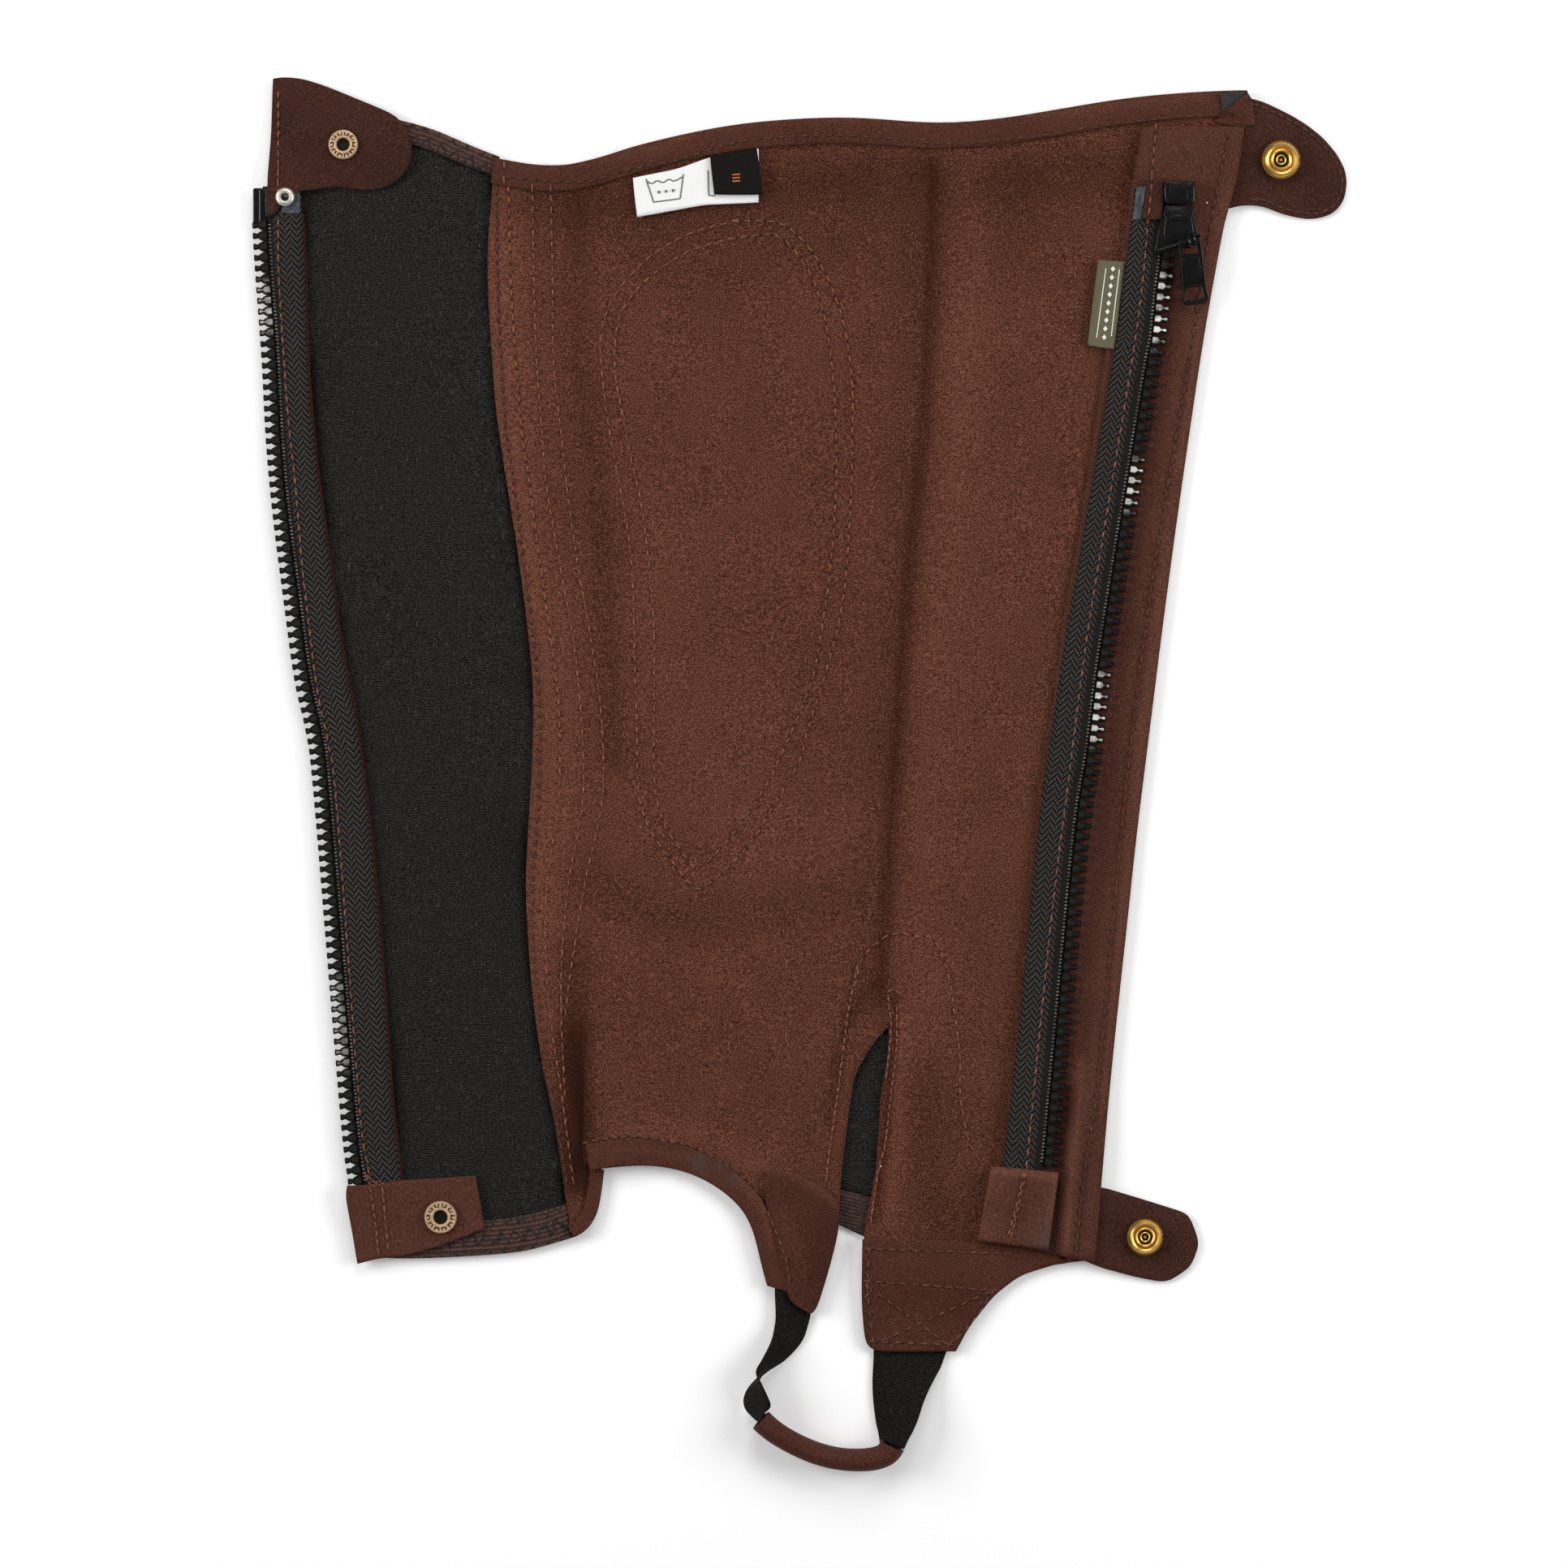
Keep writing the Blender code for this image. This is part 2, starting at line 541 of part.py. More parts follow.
def swell(x, y, row):
    """Soft rise of the calf and the long ridge to the right of the slit line."""
    row = max(row, 0.024)
    calf = CALF_SWELL * math.exp(-((x + 26) / 44) ** 2 - ((y - 90) / 120) ** 2)
    fold_x = np.interp(y, [p[1] for p in reversed(SLIT_UPPER)], [p[0] for p in reversed(SLIT_UPPER)])
    strength = 0.55 + 0.45 * math.sin(row * 7.0 + 0.6)
    ridge = RIDGE_HEIGHT * strength * math.exp(-((x - fold_x - RIDGE_OFFSET) / RIDGE_HALF_WIDTH) ** 2)
    return (calf + ridge * (1 - smoothstep((row - 0.84) / 0.1))) * smoothstep((245 - y) / 60 + 0.15)


def main_panel():
    rows = np.concatenate([
        [0.0, 0.024, 0.054], np.linspace(0.085, SLIT_START, 16),
        np.linspace(SLIT_START, 0.985, 15)[1:], [1.0],
    ])
    top = spline(TOP_EDGE)

    def top_at(x):
        return np.column_stack([x, np.interp(x, top[:, 0], top[:, 1]) - BINDING - BINDING_GAP])

    # Tuck: six columns that start side by side and end folded back on each other
    rise = smoothstep((rows - 0.75) / 0.105)
    fold = smoothstep((rows - 0.83) / 0.138)
    tuck_left = rail([(-96.0, 223.0), (-85.0, -20.0), (-86.0, -100.0), (-86.0, -146.3)], rows)
    tuck_right = rail([(-84.0, 224.4), (-75.0, -20.0), (-76.0, -100.0), (-76.0, -144.6)], rows)
    plump = 1 + TUCK_PLUMPNESS * np.sin(math.pi * fold)
    tuck = np.zeros((len(rows), 6, 3))
    folded_x = [
        TUCK_RIGHT_X - TUCK_RADIUS, TUCK_RIGHT_X, TUCK_RIGHT_X - TUCK_RADIUS,
        TUCK_LEFT_X + TUCK_RADIUS, TUCK_LEFT_X, TUCK_LEFT_X + TUCK_RADIUS,
    ]
    for k in range(6):
        flat = tuck_left * (1 - k / 5) + tuck_right * (k / 5)
        tuck[:, k, 0] = flat[:, 0] * (1 - fold) + folded_x[k] * fold
        tuck[:, k, 1] = flat[:, 1]
        tuck[:, k, 2] = rise * TUCK_RADIUS * ((1 - fold) * 0.7 * k + fold * (0, 1, 2, 2, 3, 4)[k]) * plump
        tuck[:, k, 2] += edge_lift(rows)
    tuck[0, :, :2] = top_at(tuck[0, :, 0])
    tuck[:, :, 2] += SUEDE / 2

    # Left stretch, lapped over the stretch panel
    share = np.array([0.0, 0.16, 0.32, 0.5, 0.68, 0.85, 1.0])
    left = rail(PANEL_LEFT, rows)
    left[0] = top_at(left[0, :1])[0]
    upper = top_at(left[0, 0] * (1 - share) + tuck[0, 0, 0] * share)
    lobe = rail(LOBE_EDGE[:-1] + [tuple(tuck[-1, 0, :2])], share)
    lap = coons(upper, lobe, left, tuck[:, 0, :2], rows, share)
    low, lowest = smoothstep((rows - 0.7) / 0.07)[:, None], smoothstep((rows - 0.93) / 0.04)[:, None]
    step_from = 0.5 - 0.18 * low - 0.16 * lowest
    step_to = 0.85 - 0.35 * low - 0.18 * lowest
    step_down = smoothstep((share[None] - step_from) / (step_to - step_from))
    lap_z = np.maximum(EDGE_LIFT * (1 - step_down), edge_lift(rows)[:, None]) + SUEDE / 2
    lap = np.dstack([lap, lap_z])

    # Middle stretch, from the tuck to the slit
    share = np.linspace(0, 1, 13)
    slit = two_part_rail(SLIT_UPPER, SLIT_LEFT, rows, SLIT_START)
    slit[0] = top_at(slit[0, :1])[0]
    upper = top_at(tuck[0, 5, 0] * (1 - share) + slit[0, 0] * share)
    arch = spline([tuple(tuck[-1, 5, :2])] + ARCH_EDGE)
    corner = 10
    lower = np.vstack([along(arch, np.linspace(0, 1, corner + 1)), rail([ARCH_EDGE[-1], SLIT_LEFT[-1]], [0.5, 1.0])])
    middle = coons(upper, lower, tuck[:, 5, :2], slit, rows, share)
    middle_z = np.zeros(middle.shape[:2])
    for i, row in enumerate(rows):
        for j in range(len(share)):
            x, y = middle[i, j]
            from_tuck = x - tuck[i, 5, 0]
            low_lift = EDGE_LIFT * smoothstep((row - 0.76) / 0.1)
            by_slit = EDGE_LIFT * smoothstep((row - 0.66) / 0.06) * (1 - smoothstep((slit[i, 0] - x - 18) / 14))
            lift = max(edge_lift(row), low_lift, by_slit)
            drop = 4 * TUCK_RADIUS * rise[i] * plump[i] * (1 - smoothstep(from_tuck / TUCK_SPREAD))
            soft = swell(x, y, row) * smoothstep(from_tuck / 20)
            middle_z[i, j] = lift + drop + soft + SUEDE / 2
    middle[-1, :, :] = lower

    # Right stretch, from the slit to the outer edge
    columns = np.linspace(0, 1, 12)
    slit_right = two_part_rail(SLIT_UPPER, SLIT_RIGHT, rows, SLIT_START)
    slit_right[0] = slit[0]
    outer = rail(PANEL_RIGHT, rows)
    outer[0] = top_at(outer[0, :1])[0]
    upper = top_at(slit[0, 0] * (1 - columns) + outer[0, 0] * columns)
    heel = rail(HEEL_EDGE, columns)
    right = coons(upper, heel, slit_right, outer, rows, columns)
    right_z = np.zeros(right.shape[:2])
    for i, row in enumerate(rows):
        for j in range(len(columns)):
            x, y = right[i, j]
            by_slit = (
                EDGE_LIFT * smoothstep((row - 0.66) / 0.06) * (1 - smoothstep((x - slit_right[i, 0] - 9) / 22))
                * (1 - smoothstep((row - 0.95) / 0.04))
            )
            right_z[i, j] = max(edge_lift(row), by_slit) + swell(x, y, row) * (1 - smoothstep((x - 70) / 40)) + SUEDE / 2
    meet = rows <= SLIT_START + 1e-6
    right_z[meet, 0] = middle_z[meet, -1]
    middle = np.dstack([middle, middle_z])
    right = np.dstack([right, right_z])

    # Wall thickness: straight up, and square to the cloth through the tuck
    lap[:, -1] = tuck[:, 0]
    middle[:, 0] = tuck[:, 5]
    half = np.array([0.0, 0.0, SUEDE / 2])
    row_line = np.concatenate([lap[:, -2:-1], tuck, middle[:, 1:2]], axis=1)
    way = row_line[:, 2:] - row_line[:, :-2]
    square = np.stack([-way[:, :, 2], np.zeros(way.shape[:2]), way[:, :, 0]], axis=2)
    square *= SUEDE / 2 / np.linalg.norm(square, axis=2)[:, :, None]
    offsets = [np.broadcast_to(half, lap.shape).copy(), square, np.broadcast_to(half, middle.shape).copy(),
               np.broadcast_to(half, right.shape)]
    offsets[0][:, -1] = square[:, 0]
    offsets[2][:, 0] = square[:, -1]
    joined = [np.dstack([grid, offset]) for grid, offset in zip([lap, tuck, middle, right], offsets)]
    points, triangles = grid_triangles(joined)
    wall("main_panel", points[:, :3] + points[:, 3:], points[:, :3] - points[:, 3:], triangles, "suede")

    # Edges that the bindings follow, on the underside
    under = (0.0, 0.0, SUEDE / 2)
    top_rim = np.vstack([lap[0, :-1], tuck[0], middle[0, 1:], right[0, 1:]]) - under
    arch_rim = middle[-1, 1:corner + 1] - under
    lobe_rim = lap[-1] - under
    return top_rim, arch_rim, lobe_rim


def ribbon(name, table, finish_name):
    """A flat band between a low and a high edge, with smooth sections between the table's rows."""
    table = along(spline(table, 4), np.linspace(0, 1, 25))
    low, high = table[:, :3], table[:, 3:]
    run = np.gradient((low + high) / 2, axis=0)
    square = np.cross(run, high - low)
    square *= STRAP_THICKNESS / 2 / np.linalg.norm(square, axis=1)[:, None]
    rings = [
        (a + n, (a + b) / 2 + n, b + n, b - n, (a + b) / 2 - n, a - n) for a, b, n in zip(low, high, square)
    ]
    return loft(name, rings, finish_name)


def sleeve():
    """A flattened suede tube on its edge, open at both ends."""
    path = along(spline(SLEEVE_PATH, 4), np.linspace(0, 1, 17))
    run = np.gradient(path[:, :2], axis=0)
    run /= np.linalg.norm(run, axis=1)[:, None]
    turns = np.linspace(0, 2 * math.pi, 15)[:-1]
    outer, inner = [], []
    for (x, y, half), (dx, dy) in zip(path, run):
        for rings, inset in ((outer, 0.0), (inner, SLEEVE_WALL)):
            a, b = half - inset, SLEEVE_HALF_HEIGHT - inset
            rings.append([
                (x - dy * a * math.cos(t), y + dx * a * math.cos(t), SLEEVE_CENTRE_Z + b * math.sin(t)) for t in turns
            ])
    return loft("strap_sleeve", outer + inner[::-1], "suede_dark", open_tube=True)


# Metal and moulded pieces

def turned(name, profile, place, finish_name):
    """A ring turned from a closed profile of radius and height, listed down its outer side."""
    mesh = bpy.data.meshes.new(name)
    count = len(profile)
    mesh.from_pydata([(r * MM, 0.0, z * MM) for r, z in profile], [(i, (i + 1) % count) for i in range(count)], [])
    body = bpy.data.objects.new(name, mesh)
    screw = body.modifiers.new("Turn", "SCREW")
    screw.steps = screw.render_steps = 16
    screw.use_merge_vertices = True
    screw.merge_threshold = 0.00001
    screw.use_smooth_shade = False
    body.data.materials.append(finish(finish_name))
    body.location = [c * MM for c in place]
    parts.objects.link(body)
    return body


def snap(name, x, y, radius, hole, height, finish_name, under):
    base = highest_near(x, y, under, radius * 1.2) + SEAM_GAP
    rim = height * 0.45
    profile = [
        (hole + 0.7, height), (radius * 0.82, height * 0.8), (radius, rim), (radius, 0.0), (hole, 0.0),
        (hole, height * 0.75),
    ]
    return turned(name, profile, (x, y, base), finish_name)


def flat_mesh(outlines, thickness):
    """A mesh from flat outlines in millimetres, the first solid and the others holes in it."""
    curve = bpy.data.curves.new("outline", "CURVE")
    curve.dimensions = "2D"
    curve.fill_mode = "BOTH"
    curve.extrude = thickness / 2 * MM
    for outline in outlines:
        line = curve.splines.new("POLY")
        line.points.add(len(outline) - 1)
        for point, (x, y) in zip(line.points, outline):
            point.co = (x * MM, y * MM, 0.0, 1.0)
        line.use_cyclic_u = True
    return solid_of(curve)


def solid_of(curve):
    """A closed mesh from a curve, whose caps are joined to its sides."""
    holder = bpy.data.objects.new("holder", curve)
    parts.objects.link(holder)
    bpy.context.view_layer.update()
    mesh = bpy.data.meshes.new_from_object(holder.evaluated_get(bpy.context.evaluated_depsgraph_get()))
    bpy.data.objects.remove(holder)
    tool = bmesh.new()
    tool.from_mesh(mesh)
    bmesh.ops.remove_doubles(tool, verts=tool.verts[:], dist=0.00001)
    bmesh.ops.recalc_face_normals(tool, faces=tool.faces[:])
    tool.to_mesh(mesh)
    tool.free()
    mesh.materials.clear()
    return mesh


def hard_piece(name, mesh, place, turn, finish_name, bevel):
    body = bpy.data.objects.new(name, mesh)
    body.data.materials.append(finish(finish_name))
    body.location = [c * MM for c in place]
    body.rotation_euler = (0.0, 0.0, turn)
    parts.objects.link(body)
    if bevel:
        rounding = body.modifiers.new("Rounding", "BEVEL")
        rounding.width = bevel * MM
        rounding.segments = 1
        rounding.limit_method = "ANGLE"
    return body


def rectangle(width, length, cut=0.0, x=0.0, y=0.0):
    """A rectangle with its corners cut by the same amount."""
    a, b = width / 2, length / 2
    if not cut:
        return [(x - a, y - b), (x + a, y - b), (x + a, y + b), (x - a, y + b)]
    return [
        (x - a + cut, y - b), (x + a - cut, y - b), (x + a, y - b + cut), (x + a, y + b - cut),
        (x + a - cut, y + b), (x - a + cut, y + b), (x - a, y + b - cut), (x - a, y - b + cut),
    ]


def slider():
    """The slider's body with the wire bridge that holds the pull."""
    base = highest_near(*SLIDER_PLACE, ["placket"], 9.0) + SEAM_GAP
    middle = (*SLIDER_PLACE, base + SLIDER_HEIGHT / 2)
    body = hard_piece("slider", flat_mesh([SLIDER_OUTLINE], SLIDER_HEIGHT), middle, ZIP_LEAN, "moulded", 0.0)
    hinge_z = base + SLIDER_HEIGHT + BRIDGE_CLEARANCE
    curve = bpy.data.curves.new("bridge", "CURVE")
    curve.dimensions = "3D"
    curve.bevel_depth = BRIDGE_WIRE * MM
    curve.bevel_resolution = 1
    curve.use_fill_caps = True
    line = curve.splines.new("POLY")
    arc = [(BRIDGE_RADIUS, -BRIDGE_CLEARANCE - 1.0)]
    arc += [(BRIDGE_RADIUS * math.cos(t), BRIDGE_RADIUS * math.sin(t)) for t in np.linspace(0, math.pi, 9)]
    arc += [(-BRIDGE_RADIUS, -BRIDGE_CLEARANCE - 1.0)]
    line.points.add(len(arc) - 1)
    across = math.cos(PULL_LEAN), math.sin(PULL_LEAN)
    for point, (forward, up) in zip(line.points, arc):
        x = PULL_HINGE[0] - forward * across[1]
        y = PULL_HINGE[1] + forward * across[0]
        point.co = (x * MM, y * MM, (hinge_z + up) * MM, 1.0)
    bridge = bpy.data.objects.new("bridge_cutter", solid_of(curve))
    bridge.hide_render = True
    bridge.display_type = "WIRE"
    cutters.objects.link(bridge)
    union = body.modifiers.new("Bridge", "BOOLEAN")
    union.operation = "UNION"
    union.object = bridge
    return hinge_z


def end_piece(name, sizes, base, turn, bevel):
    """The retainer box or the insertion pin: a block at one end of the zip."""
    mesh = flat_mesh([rectangle(sizes["width"], sizes["length"], sizes["corner"])], sizes["height"])
    hard_piece(name, mesh, (*sizes["place"], base + sizes["height"] / 2), turn, "moulded", bevel)


def pull_tab(hinge_z):
    """The pull, with the bar that it turns on, a window for the bridge and a slot near its end."""
    outline = [
        (-4.0, 0.8), (4.0, 0.8), (4.3, -1.0), (4.4, -17.0), (4.9, -20.6), (3.6, -21.9), (-3.6, -21.9), (-4.9, -20.6),
        (-4.4, -17.0), (-4.3, -1.0),
    ]
    window = rectangle(3.4, 3.0, 0.4, 0.0, -2.3)
    slot = rectangle(6.0, 4.0, 0.8, 0.0, -18.1)
    mesh = flat_mesh([outline, window, slot], PULL_THICKNESS)
    pull = hard_piece("pull_tab", mesh, (*PULL_HINGE, hinge_z), PULL_LEAN, "moulded", 0.2)
    pull.rotation_euler.x = PULL_DROOP


def zip_chain(name, edge, side, under, base):
    """A plain bar where the row of teeth stands, beside the tape's edge."""
    line = spline(edge)
    run = np.gradient(line, axis=0)
    out = np.stack([-run[:, 1], run[:, 0]], axis=1) * side
    out /= np.linalg.norm(out, axis=1)[:, None]
    near, far = line + out * CHAIN_CLEARANCE, line + out * (CHAIN_CLEARANCE + CHAIN_WIDTH)
    left, right = (near, far) if side > 0 else (far, near)
    lay_strip(name, left, right, 22, 1, CHAIN_HEIGHT, under, "moulded", base)


# Build

for old in list(bpy.context.scene.objects):
    bpy.data.objects.remove(old)
parts = bpy.data.collections.new("half_chap")
cutters = bpy.data.collections.new("cutters")
bpy.context.scene.collection.children.link(parts)
bpy.context.scene.collection.children.link(cutters)

# Bottom layers
stretch_outline = [
    *spline(STRETCH_TOP, 2), STRETCH_CORNER, *spline(STRETCH_LAP, 2), *spline(STRETCH_BOTTOM, 2), *spline(STRETCH_LEFT, 2),
]
lay_outline("stretch_panel", stretch_outline, ELASTIC, [], "stretch", 16.0)
lay_outline("ankle_gore", GORE, ELASTIC, [], "stretch", 9.0)
lay_outline("gore_hem", GORE_HEM, ELASTIC, [], "ribbed", 9.0)

top_run = rail(STRETCH_TOP[3:], np.linspace(0, 1, 8))
bottom_run = rail(STRETCH_BOTTOM, np.linspace(0, 1, 12))[1:]
for piece, run, leg in (
    ("stretch_top_binding", top_run, STRETCH_TOP_LEG), ("stretch_bottom_binding", bottom_run, STRETCH_BOTTOM_LEG),
):
    rim = np.column_stack([run, np.zeros(len(run))])
    edge_binding(piece, rim, [leg] * len(rim), ELASTIC, "stretch_panel", "ribbed", lower_leg=False)

# Shell and its bindings
top_rim, arch_rim, lobe_rim = main_panel()
edge_binding("top_binding", top_rim, [TOP_LEG] * len(top_rim), SUEDE, "main_panel", "suede_dark")
arch_legs = np.linspace(*ARCH_LEGS, len(arch_rim))
edge_binding("instep_binding", arch_rim[::-1], arch_legs[::-1], SUEDE, "main_panel", "suede_dark")
lobe_rim = lobe_rim[-3::-1] + (0.0, 0.0, LOBE_LIFT)
edge_binding("lobe_binding", lobe_rim, LOBE_LEGS, SUEDE, "main_panel", "suede_dark", lower_leg=False)

# Stirrup strap and the tongues that it is sewn to
ribbon("strap_left", STRAP_LEFT, "stretch")
ribbon("strap_right", STRAP_RIGHT, "stretch")
sleeve()
lay_outline("left_tongue", LEFT_TONGUE, SUEDE, ["main_panel"], "suede_dark")
lay_outline("right_tongue", RIGHT_TONGUE, SUEDE, ["main_panel"], "suede_dark", 8.0)

# Right tabs, the placket over their roots, and the right half of the zip
lay_outline("tab_top_right", TAB_TOP_RIGHT, SUEDE, ["main_panel"], "suede_dark")
lay_outline("tab_bottom_right", TAB_BOTTOM_RIGHT, SUEDE, ["main_panel"], "suede_dark")
lay_strip(
    "placket", PLACKET_LEFT, PLACKET_RIGHT, 38, 4, SUEDE,
    ["main_panel", "tab_top_right", "tab_bottom_right", "right_tongue"], "suede_dark",
)
lay_outline("side_label", SIDE_LABEL, LABEL, ["main_panel", "placket"], "olive_label")
lay_strip("zip_tape_right", RIGHT_TAPE_INNER, RIGHT_TAPE_OUTER, 34, 2, TAPE, ["placket", "main_panel"], "tape")
zip_chain("zip_chain_right", rail(RIGHT_TAPE_OUTER, np.linspace(0.064, 0.975, 14)), 1, ["placket"], 0.0)
lay_outline("tape_top_patch", TAPE_TOP_PATCH, SUEDE, ["zip_tape_right"], "suede_dark")
lay_outline(
    "zip_end_patch", ZIP_END_PATCH, SUEDE, ["main_panel", "placket", "zip_tape_right", "zip_chain_right", "right_tongue"],
    "suede_dark", 7.0,
)

# Left half of the zip and the left tabs
strip_left = [(x + 3.0, y) for x, y in LEFT_TAPE_OUTER[1:]]
strip_right = [(x + 0.8, y) for x, y in LEFT_TAPE_INNER[1:]]
lay_strip("zip_edge_strip", strip_left, strip_right, 24, 1, TAPE, ["stretch_panel"], "suede_dark")
lay_strip(
    "zip_tape_left", LEFT_TAPE_OUTER, LEFT_TAPE_INNER, 34, 2, TAPE, ["stretch_panel", "zip_edge_strip"], "tape"
)
zip_chain("zip_chain_left", rail(LEFT_TAPE_OUTER, np.linspace(0.055, 0.965, 14)), -1, [], LEFT_CHAIN_BASE)
left_stack = ["stretch_panel", "zip_edge_strip", "zip_tape_left"]
lay_outline("tab_top_left", TAB_TOP_LEFT, SUEDE, left_stack + ["stretch_top_binding"], "suede_dark")
lay_outline(
    "tab_bottom_left", TAB_BOTTOM_LEFT, SUEDE, left_stack + ["stretch_bottom_binding", "zip_chain_left"], "suede_dark"
)

# Labels
lay_outline("care_label", CARE_LABEL, LABEL, ["main_panel"], "white_label")
lay_outline("size_label", SIZE_LABEL, LABEL, ["main_panel", "care_label"], "black_label")

# Hardware
SEATS = {
    "stud_top": ["tab_top_left"],
    "stud_bottom": ["tab_bottom_left"],
    "socket_top": ["tab_top_right"],
    "socket_bottom": ["tab_bottom_right"],
    "rivet": ["tab_top_left", "zip_tape_left"],
}
for piece, (x, y, radius, hole, height, metal) in SNAPS.items():
    snap(piece, x, y, radius, hole, height, metal, SEATS[piece])
box_base = highest_near(*ZIP_BOX["place"], ["placket", "zip_tape_right"], 6.5) + SEAM_GAP
end_piece("zip_box", ZIP_BOX, box_base, ZIP_LEAN, 0.4)
end_piece("zip_pin", ZIP_PIN, ZIP_PIN["base"], 0.0, 0.3)
pull_tab(slider())
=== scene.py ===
# Half chap laid open, inner side up: cloth, stitching, zip, snaps and labels round the fixed frame
import math

import bmesh
import bpy
import numpy as np
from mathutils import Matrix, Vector, noise
from mathutils.bvhtree import BVHTree


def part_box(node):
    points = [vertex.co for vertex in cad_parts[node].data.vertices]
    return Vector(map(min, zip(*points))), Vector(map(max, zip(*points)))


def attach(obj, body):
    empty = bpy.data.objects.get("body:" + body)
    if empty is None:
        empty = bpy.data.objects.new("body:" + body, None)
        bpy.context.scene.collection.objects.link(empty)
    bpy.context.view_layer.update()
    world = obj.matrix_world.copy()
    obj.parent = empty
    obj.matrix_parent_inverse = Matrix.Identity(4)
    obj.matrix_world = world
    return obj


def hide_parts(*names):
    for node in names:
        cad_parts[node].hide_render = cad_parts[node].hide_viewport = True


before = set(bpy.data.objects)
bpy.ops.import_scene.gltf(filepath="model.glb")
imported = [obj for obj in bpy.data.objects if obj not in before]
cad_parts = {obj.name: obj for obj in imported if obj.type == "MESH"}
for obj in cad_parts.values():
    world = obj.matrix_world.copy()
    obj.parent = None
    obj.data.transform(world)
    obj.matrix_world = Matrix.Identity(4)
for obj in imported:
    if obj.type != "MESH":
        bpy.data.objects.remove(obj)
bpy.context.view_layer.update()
mm = 0.001
farOff = 1000.0  # keeps the coordinates of a repeating pattern above zero


# Node trees for materials and for geometry

class Value:  # a socket that takes part in sums
    def __init__(self, tree, socket):
        self.tree, self.socket = tree, socket

    def __add__(self, other):
        return self.tree.sum("ADD", self, other)

    def __sub__(self, other):
        return self.tree.sum("SUBTRACT", self, other)

    def __rsub__(self, other):
        return self.tree.sum("SUBTRACT", other, self)

    def __mul__(self, other):
        return self.tree.sum("MULTIPLY", self, other)

    def __truediv__(self, other):
        return self.tree.sum("DIVIDE", self, other)

    __radd__ = __add__
    __rmul__ = __mul__

    def output(self, key):  # another output of the same node
        return Value(self.tree, self.socket.node.outputs[key])


class Nodes:  # adds nodes to a tree and joins them
    def __init__(self, tree):
        self.nodeTree = tree

    def node(self, kind, settings=None, sockets=None, output=0):  # sockets and output by name or number
        made = self.nodeTree.nodes.new(kind)
        for key, value in (settings or {}).items():
            setattr(made, key, value)
        for key, value in (sockets or {}).items():
            self.put(self.pick(made.inputs, key), value)
        return Value(self, self.pick(made.outputs, output)) if made.outputs else made

    def pick(self, sockets, key):
        if isinstance(key, int):
            return sockets[key]
        return [s for s in sockets if s.enabled and s.name == key][0]

    def put(self, socket, value):
        if isinstance(value, Value):
            self.nodeTree.links.new(value.socket, socket)
        else:
            socket.default_value = value

    def sum(self, operation, first, second=0.0):
        return self.node("ShaderNodeMath", {"operation": operation}, {0: first, 1: second})

    def wave(self, value, pitch):  # between 0 and 1
        return self.sum("SINE", value * (2 * math.pi / pitch)) * 0.5 + 0.5

    def limit(self, value, low, high):  # 0 at low and 1 at high
        return self.node(
            "ShaderNodeMapRange", {"clamp": True}, {"Value": value, "From Min": low, "From Max": high}
        )

    def mix(self, factor, first, second):
        return self.node("ShaderNodeMix", {"data_type": "RGBA"}, {0: factor, 6: first, 7: second}, 2)


class Paint(Nodes):  # a material with its Principled shader
    def __init__(self, name, roughness, metallic=0.0, specular=0.5):
        self.material = bpy.data.materials.new(name)
        self.material.use_nodes = True
        super().__init__(self.material.node_tree)
        self.shader = self.nodeTree.nodes["Principled BSDF"]
        self.fix({"Roughness": roughness, "Metallic": metallic, "Specular IOR Level": specular})

    def fix(self, values):
        for socket, value in values.items():
            self.shader.inputs[socket].default_value = value

    def place(self):
        return self.node("ShaderNodeTexCoord", output="Object")

    def axes(self, place):  # its x and its y
        x = self.node("ShaderNodeSeparateXYZ", {}, {0: place})
        return x, x.output(1)

    def uv(self):
        return self.axes(self.node("ShaderNodeUVMap", {"uv_map": "cloth"}))

    def speckle(self, size, detail, rough, seed, stretch=(1, 1, 1)):  # noise, its features this large in mm
        place = self.node(
            "ShaderNodeMapping", {}, {"Vector": self.place(), "Location": (seed, 0, 0), "Scale": stretch}
        )
        return self.node("ShaderNodeTexNoise", {}, {
            "Vector": place, "Scale": 1 / (size * mm), "Detail": detail, "Roughness": rough,
        })

    def colour(self, value):
        self.put(self.shader.inputs["Base Color"], value)

    def relief(self, height, depth, strength):
        bump = self.node(
            "ShaderNodeBump", {}, {"Height": height, "Strength": strength, "Distance": depth * mm}, "Normal"
        )
        self.put(self.shader.inputs["Normal"], bump)


def screenColour(shade):  # red, green and blue as seen on screen, 0 to 255
    linear = [c / 12.92 if c <= 0.04045 else ((c + 0.055) / 1.055) ** 2.4 for c in (s / 255 for s in shade)]
    return (*linear, 1.0)


# Materials

